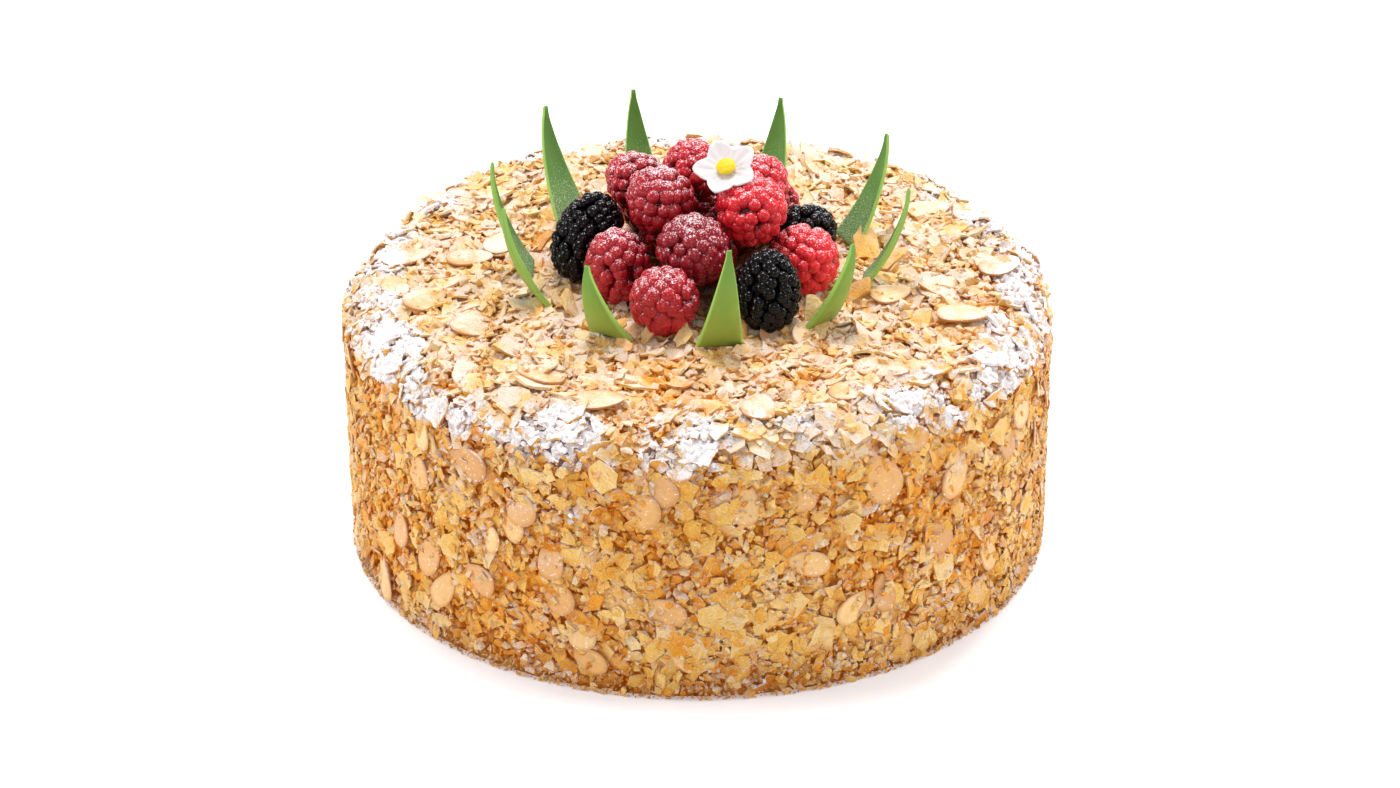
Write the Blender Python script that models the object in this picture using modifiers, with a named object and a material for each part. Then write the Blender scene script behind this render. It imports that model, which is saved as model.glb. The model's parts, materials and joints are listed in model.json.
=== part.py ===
"""Round napoleon cake, wholly coated in pastry flakes and almond slices. A heap of raspberries and
bramble berries stands on its top inside a ring of sugar-paste leaves, with one small sugar flower.

Metres, +Z up. The origin is the middle of the cake's flat underside."""

import math
import random
from dataclasses import dataclass

import bmesh
import bpy
from mathutils import Euler, Matrix, Vector

MM = 0.001
CLEARANCE = 0.3 * MM  # between two touching pieces

# The cake, measured to its crumb coat. The flakes stand proud of it.
CAKE_RADIUS = 104.4 * MM
CAKE_HEIGHT = 81.2 * MM
RIM_ROUND = 12 * MM  # rounding of the top edge
FOOT_ROUND = 1.5 * MM
BED_RADIUS = 58 * MM  # flat middle of the top, where the berries and leaves stand
BED_EDGE = 6 * MM  # width over which the crags rise from the bed
CRAG_HEIGHT = 4 * MM  # crumb coat, from its deepest pit to its highest crest
CRAG_SIZE = 7 * MM
CAKE_SIDES = 64
TOP_ROWS, RIM_ROWS, SIDE_ROWS = 4, 3, 8

# Flakes large enough to show from a step away
GOLDEN_ANGLE = math.pi * (3 - math.sqrt(5))
FLAKE_SEED = 21
PASTRY_FLAKES = 60
PASTRY_ACROSS = (10 * MM, 15 * MM)
PASTRY_THICK = 1.3 * MM
PASTRY_PROUD = 0.4 * MM
PASTRY_CORNERS = 5
PASTRY_TILT = (3, 15)  # degrees off the coat
ALMOND_SLICES = 32
ALMOND_LONG = (13.5 * MM, 17.5 * MM)
ALMOND_THICK = 1.5 * MM
ALMOND_PROUD = 0.5 * MM
ALMOND_CORNERS = 8
ALMOND_TILT = (2, 12)
ALMOND_START, ALMOND_END = 0.1, 0.99  # stretch of the coat with almonds, as coat_spot counts it
ALMOND_TURN = 1.2  # turn of the almonds' spiral from the pastry's, radians
FLAKE_CURL = 0.8 * MM
FOOT_MARGIN = 7 * MM  # flakes stay this far above the underside and off the bed
BED_MARGIN = 4 * MM

# Berries
DRUPELET = 5.0 * MM  # spacing of the beads, coarser than the real 4 mm
VALLEY = {"raspberry": 1.0 * MM, "bramble": 0.9 * MM}  # depth between three beads
TAPER = {"raspberry": 0.13, "bramble": 0.09}  # how much narrower a berry is towards its tip
BEAD_SHIFT = 0.12  # how far a bead strays along its row, as a share of the spacing
FIRST_ROW, LAST_ROW = 6, 164  # degrees down from the tip to the middles of the first and last rows
STALK_DENT = 0.985  # height of the bead under the stalk, as a share of the berry's half length
BERRY_SEED = 5

# Leaves: strips of sugar paste that stand on the cake and curl up and outwards
LEAF_RING = 48.5 * MM
LEAF_THICK = 1.8 * MM
LEAF_ROWS = 6
LEAF_TAPER = 0.7  # power of the narrowing: 1 would give straight edges
LEAF_TIP_SHARE = 0.1  # width of the blunt tip over the width of the foot
LEAF_CUP = 0.7 * MM

# Flower
FLOWER_CENTRE = Vector((8.3, -8.8, 118.1)) * MM
FLOWER_FACES = (-106, 66)  # azimuth and elevation of the way it looks, degrees
FLOWER_SPIN = 49  # puts one petal at the bottom
FLOWER_RADIUS = 9.8 * MM
PETALS = 5
PETAL_POINT = 1.2  # power of the outline: more gives sharper petals
FLOWER_NOTCH = 0.72  # radius between two petals over the radius at their tips
FLOWER_THICK = 1.2 * MM
FLOWER_CUP = 2.6 * MM  # how far the petal tips curl forward
FLOWER_STEPS, FLOWER_RINGS = 20, 3
EYE_RADIUS = 2.8 * MM
EYE_HEIGHT = 1.9 * MM


@dataclass
class Berry:
    """One berry of the heap, in millimetres from the middle of the cake's top.
    One with no height lies on the cake."""

    kind: str
    name: str
    place: tuple
    width: float
    length: float
    tip: tuple  # azimuth and elevation of the way its tip points, degrees
    height: float | None = None


BERRIES = [
    # the outer ones, from the front round to the right
    Berry("raspberry", "front", (-9.9, -39.2), 20.4, 20.8, (-110, 52)),
    Berry("bramble", "front", (19.7, -36.8), 19.4, 25.0, (110, 82)),
    Berry("raspberry", "right", (31.4, -13.4), 21.4, 21.2, (-60, 35)),
    Berry("bramble", "right", (31.0, 8.4), 18.0, 21.6, (28, 8)),
    Berry("raspberry", "back_right", (22.6, 26.4), 18.2, 18.6, (55, 50)),
    Berry("raspberry", "back", (4.0, 31.8), 18.4, 18.8, (95, 40)),
    Berry("raspberry", "back_left", (-15.0, 29.6), 18.2, 18.6, (120, 55)),
    Berry("raspberry", "small", (-31.0, 18.8), 17.2, 17.0, (150, 60)),
    Berry("bramble", "left", (-32.0, -0.6), 20.2, 28.6, (62, 44)),
    Berry("raspberry", "left", (-23.0, -19.8), 20.0, 24.0, (-125, 78)),
    # the inner ones that carry the upper ones
    Berry("raspberry", "middle", (2.8, -6.4), 18.0, 18.2, (0, 85)),
    Berry("raspberry", "inner_left", (-8.6, 9.8), 17.8, 17.8, (180, 80)),
    Berry("raspberry", "inner_right", (9.9, 12.6), 17.8, 17.8, (30, 80)),
    # the upper ones
    Berry("raspberry", "upper_front", (-0.5, -23.6), 21.6, 22.0, (-65, 20), 19.1),
    Berry("raspberry", "upper_left", (-11.4, -6.3), 20.4, 21.2, (-150, 62), 26.9),
    Berry("raspberry", "upper_right", (16.2, -11.8), 21.2, 21.0, (-30, 25), 26.4),
    Berry("raspberry", "top_left", (-18.9, 16.5), 18.0, 18.4, (160, 30), 23.2),
    Berry("raspberry", "top", (-1.6, 11.6), 18.8, 18.8, (80, 68), 28.8),
    Berry("raspberry", "top_right", (18.4, 8.8), 18.4, 18.6, (25, 40), 25.5),
]


@dataclass
class Leaf:
    """One leaf of the ring round the heap: where its foot stands, and where its tip is
    from there, in millimetres."""

    name: str
    ring_angle: float
    width: float
    out: float
    up: float
    side: float = 0.0
    bend: float = 42.0  # turn from its foot to its tip, degrees


LEAVES = [
    Leaf("front", -83, 13.6, 12.4, 35.5, side=1.2),
    Leaf("front_right", -45, 13.0, 13.0, 29.5, side=-0.5),
    Leaf("right", -10, 12.6, 13.0, 31.5),
    Leaf("back_right", 24.5, 14.0, 13.0, 33.0),
    Leaf("back", 66, 13.6, 13.5, 31.5),
    Leaf("back_middle", 109, 13.6, 12.0, 34.0),
    Leaf("back_left", 139, 14.6, 12.0, 36.0),
    Leaf("left", 180, 12.6, 11.0, 35.0),
    Leaf("front_left", -157, 12.6, 11.4, 31.0),
    Leaf("front_middle", -120, 14.0, 10.6, 26.0, side=-1.4, bend=50),
]

COLOURS = {
    "crust": (0.80, 0.53, 0.22),
    "raspberry": (0.45, 0.02, 0.035),
    "bramble": (0.02, 0.012, 0.018),
    "leaf": (0.24, 0.42, 0.10),
    "petal": (0.90, 0.89, 0.88),
    "eye": (0.93, 0.72, 0.02),
}
ROUGHNESS = {"crust": 0.8, "raspberry": 0.35, "bramble": 0.25, "leaf": 0.55, "petal": 0.5, "eye": 0.5}


def clear_scene():
    for old in list(bpy.data.objects):
        bpy.data.objects.remove(old)


def new_collection(name):
    made = bpy.data.collections.new(name)
    bpy.context.scene.collection.children.link(made)
    return made


def new_material(name):
    material = bpy.data.materials.new(name)
    material.use_nodes = True
    shader = material.node_tree.nodes["Principled BSDF"]
    shader.inputs["Base Color"].default_value = (*COLOURS[name], 1)
    shader.inputs["Roughness"].default_value = ROUGHNESS[name]
    return material


def object_from(bm, name, collection, material):
    mesh = bpy.data.meshes.new(name)
    bm.to_mesh(mesh)
    bm.free()
    mesh.materials.append(material)
    made = bpy.data.objects.new(name, mesh)
    collection.objects.link(made)
    return made


def apply_modifiers(obj):
    """Makes the object's evaluated shape its own mesh."""
    graph = bpy.context.evaluated_depsgraph_get()
    mesh = bpy.data.meshes.new_from_object(obj.evaluated_get(graph))
    obj.modifiers.clear()
    obj.data = mesh


def heading(azimuth, elevation):
    """Unit vector for an azimuth from +X and an elevation, in degrees."""
    a, e = math.radians(azimuth), math.radians(elevation)
    return Vector((math.cos(a) * math.cos(e), math.sin(a) * math.cos(e), math.sin(e)))


def turned_to(direction, spin):
    """Rotation that turns +Z to this direction, after a spin about +Z."""
    return direction.to_track_quat("Z", "Y") @ Euler((0, 0, spin)).to_quaternion()


# ---------------------------------------------------------------- the cake


def cake_profile():
    """Points (radius, height) down the half section, from the middle of the top to the middle of the base."""
    rim_start = CAKE_RADIUS - RIM_ROUND
    rim_low = CAKE_HEIGHT - RIM_ROUND
    points = [(0, CAKE_HEIGHT), (BED_RADIUS, CAKE_HEIGHT)]
    for row in range(1, TOP_ROWS + 1):
        points.append((BED_RADIUS + (rim_start - BED_RADIUS) * row / TOP_ROWS, CAKE_HEIGHT))
    for row in range(1, RIM_ROWS + 1):
        turn = math.pi / 2 * row / RIM_ROWS
        points.append((rim_start + RIM_ROUND * math.sin(turn), rim_low + RIM_ROUND * math.cos(turn)))
    for row in range(1, SIDE_ROWS + 1):
        points.append((CAKE_RADIUS, rim_low + (FOOT_ROUND - rim_low) * row / SIDE_ROWS))
    return [*points, (CAKE_RADIUS - FOOT_ROUND, 0), (0, 0)]


def crag_share(point):
    """How much of the crag relief a point takes: none on the base and on the bed, all of it elsewhere."""
    if point.z < FOOT_ROUND / 2:
        return 0.0
    if point.z > CAKE_HEIGHT - CLEARANCE:
        return min(1.0, max(0.0, (math.hypot(point.x, point.y) - BED_RADIUS) / BED_EDGE))
    return 1.0


def add_core(collection, material):
    """The cake's body: a turned profile whose outside is roughened into crags."""
    bm = bmesh.new()
    points = [bm.verts.new((radius, 0, height)) for radius, height in cake_profile()]
    for upper, lower in zip(points, points[1:]):
        bm.edges.new((upper, lower))
    cake = object_from(bm, "cake", collection, material)
    screw = cake.modifiers.new("Turn", "SCREW")
    screw.steps = screw.render_steps = CAKE_SIDES
    screw.use_smooth_shade = False
    screw.use_merge_vertices = True
    screw.merge_threshold = 0.05 * MM
    apply_modifiers(cake)

    craggy = cake.vertex_groups.new(name="craggy")
    for vertex in cake.data.vertices:
        craggy.add([vertex.index], crag_share(vertex.co), "REPLACE")
    clouds = bpy.data.textures.new("crags", "CLOUDS")
    clouds.noise_scale = CRAG_SIZE
    relief = cake.modifiers.new("Crags", "DISPLACE")
    relief.texture = clouds
    relief.strength = CRAG_HEIGHT
    relief.vertex_group = craggy.name
    apply_modifiers(cake)
    return cake


def coat_spot(share):
    """A point of the crumb coat and how steeply the way out of it rises, in the half section.
    Shares run evenly by area from the bed's edge (0) over the top and the rim to the foot (1)."""
    inner = BED_RADIUS + BED_MARGIN
    rim_start, rim_low = CAKE_RADIUS - RIM_ROUND, CAKE_HEIGHT - RIM_ROUND
    top_area = (rim_start**2 - inner**2) / 2
    rim_area = RIM_ROUND * (math.pi / 2 * rim_start + RIM_ROUND)
    side_area = CAKE_RADIUS * (rim_low - FOOT_MARGIN)
    area = share * (top_area + rim_area + side_area)
    if area < top_area:
        return (math.sqrt(inner**2 + 2 * area), CAKE_HEIGHT), 90.0
    area -= top_area
    if area < rim_area:
        turn = math.pi / 2 * area / rim_area
        point = (rim_start + RIM_ROUND * math.sin(turn), rim_low + RIM_ROUND * math.cos(turn))
        return point, 90 - math.degrees(turn)
    area -= rim_area
    return (CAKE_RADIUS, rim_low - area / CAKE_RADIUS), 0.0


def plate(outline, thick, curl):
    """A thin plate with this outline, its two ends bent down by the curl."""
    bm = bmesh.new()
    face = bm.faces.new([bm.verts.new((x, y, -thick / 2)) for x, y in outline])
    grown = bmesh.ops.extrude_face_region(bm, geom=[face])
    risen = [item for item in grown["geom"] if isinstance(item, bmesh.types.BMVert)]
    bmesh.ops.translate(bm, vec=(0, 0, thick), verts=risen)
    reach = max(abs(x) for x, _ in outline)
    for vertex in bm.verts:
        vertex.co.z -= curl * (vertex.co.x / reach) ** 2
    bmesh.ops.triangulate(bm, faces=bm.faces[:])
    bmesh.ops.recalc_face_normals(bm, faces=bm.faces[:])
    return bm


def pastry_outline(rng, across):
    """A torn shape with straight sides."""
    narrow = rng.uniform(0.6, 0.95)
    points = []
    for corner in range(PASTRY_CORNERS):
        turn = math.tau * (corner + rng.uniform(-0.28, 0.28)) / PASTRY_CORNERS
        reach = across / 2 * rng.uniform(0.8, 1.15)
        points.append((reach * math.cos(turn), reach * narrow * math.sin(turn)))
    return points


def almond_outline(rng, length):
    """An oval that narrows to a blunt tip."""
    half_width = length * rng.uniform(0.28, 0.34)
    points = []
    for corner in range(ALMOND_CORNERS):
        turn = math.tau * corner / ALMOND_CORNERS
        narrow = 1 - 0.22 * math.cos(turn)
        points.append((length / 2 * math.cos(turn), half_width * narrow * math.sin(turn)))
    return points


def lay_on_coat(cake, flake, share, turn, rng, tilt, proud):
    """Lays a plate on the crags, spun about its normal and tipped, with its middle proud of them."""
    (radius, height), rise = coat_spot(share)
    out = heading(math.degrees(turn), rise)
    above = Matrix.Rotation(turn, 4, "Z") @ Vector((radius, 0, height)) + out * CRAG_HEIGHT
    _, seat, _, _ = cake.ray_cast(above, -out)
    flake.rotation_mode = "QUATERNION"
    spin = turned_to(out, rng.uniform(0, math.tau))
    flake.rotation_quaternion = spin @ Euler((math.radians(rng.uniform(*tilt)), 0, 0)).to_quaternion()
    flake.location = seat + out * proud


def add_flakes(cake, collection, material):
    """Pastry flakes and almond slices, spread evenly over the cake's coat by the golden angle."""
    rng = random.Random(FLAKE_SEED)
    for number in range(PASTRY_FLAKES):
        outline = pastry_outline(rng, rng.uniform(*PASTRY_ACROSS))
        bm = plate(outline, PASTRY_THICK, rng.uniform(0, FLAKE_CURL))
        flake = object_from(bm, "pastry", collection, material)
        share = (number + 0.5) / PASTRY_FLAKES
        lay_on_coat(cake, flake, share, number * GOLDEN_ANGLE, rng, PASTRY_TILT, PASTRY_PROUD)
    for number in range(ALMOND_SLICES):
        outline = almond_outline(rng, rng.uniform(*ALMOND_LONG))
        bm = plate(outline, ALMOND_THICK, rng.uniform(0, FLAKE_CURL))
        flake = object_from(bm, "almond", collection, material)
        share = ALMOND_START + (ALMOND_END - ALMOND_START) * (number + 0.5) / ALMOND_SLICES
        turn = (number + 0.5) * GOLDEN_ANGLE + ALMOND_TURN
        lay_on_coat(cake, flake, share, turn, rng, ALMOND_TILT, ALMOND_PROUD)


def join_flakes(cake, flakes):
    """Fuses the flakes to the cake, then removes them."""
    union = cake.modifiers.new("Flakes", "BOOLEAN")
    union.operation = "UNION"
    union.operand_type = "COLLECTION"
    union.collection = flakes
    union.solver = "MANIFOLD"
    apply_modifiers(cake)
    for flake in list(flakes.objects):
        bpy.data.objects.remove(flake)
    bpy.data.collections.remove(flakes)


def island_of(start):
    """All the points that the mesh's edges join to this one."""
    found, front = {start}, [start]
    while front:
        vertex = front.pop()
        for edge in vertex.link_edges:
            other = edge.other_vert(vertex)
            if other not in found:
                found.add(other)
                front.append(other)
    return found


def keep_outer_surface(cake):
    """Fills the hollows that fused flakes have sealed, and drops loose scraps."""
    bm = bmesh.new()
    bm.from_mesh(cake.data)
    islands = []
    for vertex in bm.verts:
        if not any(vertex in island for island in islands):
            islands.append(island_of(vertex))
    outer = max(islands, key=len)
    bmesh.ops.delete(bm, geom=[vertex for vertex in bm.verts if vertex not in outer], context="VERTS")
    bm.to_mesh(cake.data)
    bm.free()


# ---------------------------------------------------------------- the berries


def bead_spots(berry, rng):
    """Middles of a berry's beads: staggered rows round an egg with its tip up."""
    wide, tall = berry.width / 2 * MM, berry.length / 2 * MM
    rows = round(math.pi * (wide + tall) / 2 / DRUPELET)
    spots = [(0, 0, -tall * STALK_DENT)]
    for row in range(rows + 1):
        down = math.radians(FIRST_ROW + (LAST_ROW - FIRST_ROW) * row / rows)
        ring = wide * math.sin(down) * (1 - TAPER[berry.kind] * math.cos(down))
        count = max(1, round(math.tau * ring / DRUPELET))
        for bead in range(count):
            turn = math.tau * (bead + 0.5 * (row % 2) + rng.uniform(-BEAD_SHIFT, BEAD_SHIFT)) / count
            spots.append((ring * math.cos(turn), ring * math.sin(turn), tall * math.cos(down)))
    return spots


def berry_shape(berry, rng):
    """A closed berry: a peak for every bead, with a valley all round it."""
    bm = bmesh.new()
    for spot in bead_spots(berry, rng):
        bm.verts.new(spot)
    bmesh.ops.convex_hull(bm, input=bm.verts[:])
    bmesh.ops.delete(bm, geom=[vertex for vertex in bm.verts if not vertex.link_faces], context="VERTS")
    bmesh.ops.recalc_face_normals(bm, faces=bm.faces[:])
    peak_to_peak = bm.edges[:]
    bmesh.ops.poke(bm, faces=bm.faces[:], offset=-VALLEY[berry.kind])
    bmesh.ops.rotate_edges(bm, edges=peak_to_peak)
    return bm


def add_berries(collection, materials):
    rng = random.Random(BERRY_SEED)
    for berry in BERRIES:
        bm = berry_shape(berry, rng)
        turn = turned_to(heading(*berry.tip), rng.uniform(0, math.tau))
        lowest = min((turn @ vertex.co).z for vertex in bm.verts)
        lift = CLEARANCE - lowest if berry.height is None else berry.height * MM
        made = object_from(bm, f"{berry.kind}_{berry.name}", collection, materials[berry.kind])
        made.rotation_mode = "QUATERNION"
        made.rotation_quaternion = turn
        made.location = (berry.place[0] * MM, berry.place[1] * MM, CAKE_HEIGHT + lift)


# ---------------------------------------------------------------- the leaves


def leaf_arc(leaf):
    """Slope at the leaf's foot, turn to its tip and radius of the arc that its midline follows."""
    chord, rise = math.hypot(leaf.out, leaf.up) * MM, math.atan2(leaf.up, leaf.out)
    bend = math.radians(leaf.bend)
    return rise - bend / 2, bend, chord / (2 * math.sin(bend / 2))


def leaf_sheet(leaf):
    """The leaf's middle surface: rows of three points across, cupped towards the heap.
    Its foot is at the origin and it leans out along +X."""
    foot_slope, bend, radius = leaf_arc(leaf)
    bm = bmesh.new()
    rows = []
    for row in range(LEAF_ROWS + 1):
        share = row / LEAF_ROWS
        slope = foot_slope + bend * share
        out = radius * (math.sin(slope) - math.sin(foot_slope))
        up = radius * (math.cos(foot_slope) - math.cos(slope))
        half = leaf.width / 2 * MM * max(LEAF_TIP_SHARE, (1 - share) ** LEAF_TAPER)
        side = leaf.side * MM * share
        cup = LEAF_CUP * math.sin(math.pi * share)
        rows.append([bm.verts.new((out - cup * edge**2, side + half * edge, up)) for edge in (-1, 0, 1)])
    for near, far in zip(rows, rows[1:]):
        for edge in (0, 1):
            bm.faces.new((near[edge], far[edge], far[edge + 1], near[edge + 1]))
    bmesh.ops.triangulate(bm, faces=bm.faces[:])
    return bm


def add_leaves(collection, material):
    for leaf in LEAVES:
        made = object_from(leaf_sheet(leaf), f"leaf_{leaf.name}", collection, material)
        body = made.modifiers.new("Thickness", "SOLIDIFY")
        body.thickness = LEAF_THICK
        body.offset = 0
        foot_slope, _, _ = leaf_arc(leaf)
        foot = CLEARANCE + LEAF_THICK / 2 * math.cos(foot_slope)
        ring_angle = math.radians(leaf.ring_angle)
        made.location = Matrix.Rotation(ring_angle, 4, "Z") @ Vector((LEAF_RING, 0, CAKE_HEIGHT + foot))
        made.rotation_euler = (0, 0, ring_angle)


# ---------------------------------------------------------------- the flower


def petal_reach(turn):
    """The flower's outline, pointed petals with notches between them, as a share of its radius."""
    return FLOWER_NOTCH + (1 - FLOWER_NOTCH) * abs(math.cos(PETALS / 2 * turn)) ** PETAL_POINT


def petal_sheet():
    """The middle surface of the petals, which join in one cupped sheet."""
    bm = bmesh.new()
    middle = bm.verts.new((0, 0, 0))
    rings = []
    for ring in range(1, FLOWER_RINGS + 1):
        points = []
        for step in range(FLOWER_STEPS):
            turn = math.tau * step / FLOWER_STEPS
            reach = petal_reach(turn) * ring / FLOWER_RINGS
            radius = FLOWER_RADIUS * reach
            spot = (radius * math.cos(turn), radius * math.sin(turn), FLOWER_CUP * reach**2)
            points.append(bm.verts.new(spot))
        rings.append(points)
    for step in range(FLOWER_STEPS):
        after = (step + 1) % FLOWER_STEPS
        bm.faces.new((middle, rings[0][step], rings[0][after]))
        for inner, outer in zip(rings, rings[1:]):
            bm.faces.new((inner[step], outer[step], outer[after], inner[after]))
    bmesh.ops.triangulate(bm, faces=bm.faces[:])
    return bm


def add_flower(collection, materials):
    """The petals, and the round eye that sits in them."""
    petals = object_from(petal_sheet(), "flower_petals", collection, materials["petal"])
    body = petals.modifiers.new("Thickness", "SOLIDIFY")
    body.thickness = FLOWER_THICK
    body.offset = 0

    bm = bmesh.new()
    bmesh.ops.create_uvsphere(bm, u_segments=10, v_segments=6, radius=EYE_RADIUS)
    bmesh.ops.scale(bm, vec=(1, 1, EYE_HEIGHT / 2 / EYE_RADIUS), verts=bm.verts[:])
    eye = object_from(bm, "flower_eye", collection, materials["eye"])

    facing = heading(*FLOWER_FACES)
    eye_lift = FLOWER_THICK / 2 + CLEARANCE + EYE_HEIGHT / 2
    for piece, lift in ((petals, 0), (eye, eye_lift)):
        piece.rotation_mode = "QUATERNION"
        piece.rotation_quaternion = turned_to(facing, math.radians(FLOWER_SPIN))
        piece.location = FLOWER_CENTRE + facing * lift


def main():
    clear_scene()
    collection = new_collection("napoleon_cake")
    materials = {name: new_material(name) for name in COLOURS}
    cake = add_core(collection, materials["crust"])
    flakes = new_collection("flakes")
    add_flakes(cake, flakes, materials["crust"])
    join_flakes(cake, flakes)
    keep_outer_surface(cake)
    add_berries(collection, materials)
    add_leaves(collection, materials["leaf"])
    add_flower(collection, materials)


main()
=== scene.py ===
"""Looks of a round napoleon cake. Its crumb coat is strewn with pastry flakes, slivers, crumbs and
almond slices and dusted with icing sugar. A heap of berries, a ring of sugar-paste leaves and one
sugar flower stand on top.

Metres, +Z up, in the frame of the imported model."""

import json
import math
import random
from collections import namedtuple

import bmesh
import bpy
from mathutils import Euler, Matrix, Vector

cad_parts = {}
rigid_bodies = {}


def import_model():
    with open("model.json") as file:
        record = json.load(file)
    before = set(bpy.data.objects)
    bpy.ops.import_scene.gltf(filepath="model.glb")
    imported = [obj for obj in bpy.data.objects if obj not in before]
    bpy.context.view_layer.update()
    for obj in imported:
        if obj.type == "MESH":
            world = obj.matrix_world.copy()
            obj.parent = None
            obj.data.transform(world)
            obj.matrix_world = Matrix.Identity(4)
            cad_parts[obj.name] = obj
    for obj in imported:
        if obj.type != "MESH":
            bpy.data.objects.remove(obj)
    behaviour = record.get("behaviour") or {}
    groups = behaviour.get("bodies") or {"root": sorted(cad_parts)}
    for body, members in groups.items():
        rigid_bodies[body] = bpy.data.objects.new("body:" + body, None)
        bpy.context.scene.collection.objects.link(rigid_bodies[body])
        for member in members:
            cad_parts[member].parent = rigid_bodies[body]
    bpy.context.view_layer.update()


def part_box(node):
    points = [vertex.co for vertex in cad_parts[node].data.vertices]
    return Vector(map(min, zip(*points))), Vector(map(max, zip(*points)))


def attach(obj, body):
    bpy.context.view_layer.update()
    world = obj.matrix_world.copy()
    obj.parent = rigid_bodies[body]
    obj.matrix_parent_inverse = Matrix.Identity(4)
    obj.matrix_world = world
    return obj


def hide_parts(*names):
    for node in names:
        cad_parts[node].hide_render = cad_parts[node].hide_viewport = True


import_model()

bl_info = {
    "name": "Napoleon Cake",
    "version": (1, 0, 0),
    "blender": (4, 5, 0),
    "location": "View3D > Sidebar > Cake",
    "description": "Dresses a round napoleon cake in pastry flakes, almonds, icing sugar and berries",
    "category": "Add Mesh",
}

MM = 0.001
GOLDEN_ANGLE = math.pi * (3 - math.sqrt(5))
PASTRY_SEED, CHIP_SEED, ALMOND_SEED, ICING_SEED, PETAL_SEED, EYE_SEED = 11, 9, 4, 2, 3, 8
CLEARANCE = 0.3 * MM  # between the cake's top and what stands on it

# The cake, from the frame
CAKE_LOW, CAKE_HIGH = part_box("cake")
CAKE_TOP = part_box("raspberry_front")[0].z - CLEARANCE
REACH = min(CAKE_HIGH.x, -CAKE_LOW.x, CAKE_HIGH.y, -CAKE_LOW.y) - 0.1 * MM  # no flake stands out further
GIVE = 1.1 * MM  # what stands out past the reach less this is pressed back
COAT_RADIUS = REACH - 2.5 * MM  # of the smooth body that the pastry is strewn on
COAT_TOP = CAKE_TOP - 1.0 * MM
RIM_ROUND = 12 * MM
RIM_START = COAT_RADIUS - RIM_ROUND  # where the top begins to round over
RIM_LOW = COAT_TOP - RIM_ROUND  # where the side begins
FOOT_HIGH, FOOT_SPILL, FOOT_EDGE = 2.5 * MM, 1.2 * MM, 0.3 * MM  # of the crumbs heaped at the foot
FLOOR_GAP = 0.15 * MM  # under the lowest pastry
BACK_PILE = 2.2 * MM  # how much higher the coat is along the back of the top
HEAP_RADIUS = 36 * MM  # hidden under the berries
BARE_RADIUS = HEAP_RADIUS - 8 * MM  # from here inwards the larger bits of pastry are few
HEAP_MIDDLE = Vector((2 * MM, -2 * MM, CAKE_TOP + 8 * MM))
BED_STEP, CORE_STEP = 2.2 * MM, 1.05 * MM  # between the points of the coat's meshes
CORE_INSET = 1.3 * MM  # how far the core lies under the bed that the pastry is strewn on

# Icing sugar that fell in drifts on the side: azimuth in degrees, height and reach
SUGAR_DRIFTS = (
    (-109, 55 * MM, 5 * MM),
    (-104, 47 * MM, 4 * MM),
    (-62, 54 * MM, 5 * MM),
    (-83, 10 * MM, 5 * MM),
    (-80, 5 * MM, 6 * MM),
    (-120, 21 * MM, 3 * MM),
    (-93, 60 * MM, 4 * MM),
)

ICING_DENSITY = 500000.0  # lumps on a square metre
ICING_CELL = 0.5 * MM  # of the grid that the lumps melt together on

# Almond slices that show from the front
SIDE_ALMONDS = (
    # azimuth, height, length, turn from upright, tip-out (degrees and millimetres)
    (-140, 54, 16, 58, 8), (-128, 63, 16, 86, 6), (-99, 60, 15, 75, 22), (-96, 67, 14, 58, 20),
    (-93, 73, 12, 24, 30), (-118, 55, 14, 28, 26), (-137, 27, 14, -16, 10), (-134, 18, 13, -28, 14),
    (-145, 29, 11, 12, 10), (-95, 28, 13, 72, 6), (-103, 31, 15, 66, 4), (-108, 19, 12, 0, 8),
    (-107, 10, 12, 70, 8), (-92, 16, 17, 38, 6), (-126, 27, 12, 68, 8), (-113, 40, 13, 12, 24),
    (-152, 7, 17, 62, 16), (-120, 48, 12, 70, 20), (-75, 61, 11, 82, 8), (-83, 62, 14, 4, 10),
    (-61, 63, 16, 24, 6), (-46, 56, 16, -36, 8), (-56, 72, 13, 82, 26), (-28, 64, 15, -8, 10),
    (-65, 24, 14, -70, 12), (-60, 26, 12, 8, 10), (-58, 10, 14, 26, 10), (-72, 19, 13, -20, 12),
    (-37, 23, 12, 10, 14), (-112, 29, 13, 50, 18), (-138, 66, 12, 40, 24), (-33, 56, 13, 8, 34),
    (-124, 42, 12, 76, 34), (-164, 44, 13, 40, 10), (-73, 41, 13, 74, 6), (-50, 38, 12, 50, 12),
)
TOP_ALMONDS = (
    # azimuth, distance from the middle, length, turn about the normal, tip-up
    (25, 69, 13, 100, 8), (2, 89, 15, 40, 8), (31, 82, 14, 20, 6), (-9, 71, 16, 62, 5),
    (-21, 81, 15, -2, 6), (-16, 58, 13, 20, 8), (-51, 81, 16, -12, 6), (-61, 87, 14, 30, 8),
    (-79, 88, 14, 80, 8), (-108, 86, 14, 10, 8), (-123, 80, 15, 150, 6), (-151, 74, 15, 80, 10),
    (163, 62, 14, 70, 10), (173, 68, 14, 10, 8), (-166, 81, 15, 50, 8), (174, 87, 15, 20, 6),
    (-173, 89, 14, 100, 8), (-62, 47, 10, 20, 60), (-54, 51, 11, 60, 52), (21, 54, 11, 100, 58),
)
LOOSE_ALMONDS = 66  # more, strewn where the front view doesn't reach
LOOSE_AZIMUTHS = (-20, 200)
SIDE_SHARE = 0.86  # of the loose almonds, against those on the top
ALMOND_ROOM = 15 * MM  # least distance from one slice's middle to the next

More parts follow.
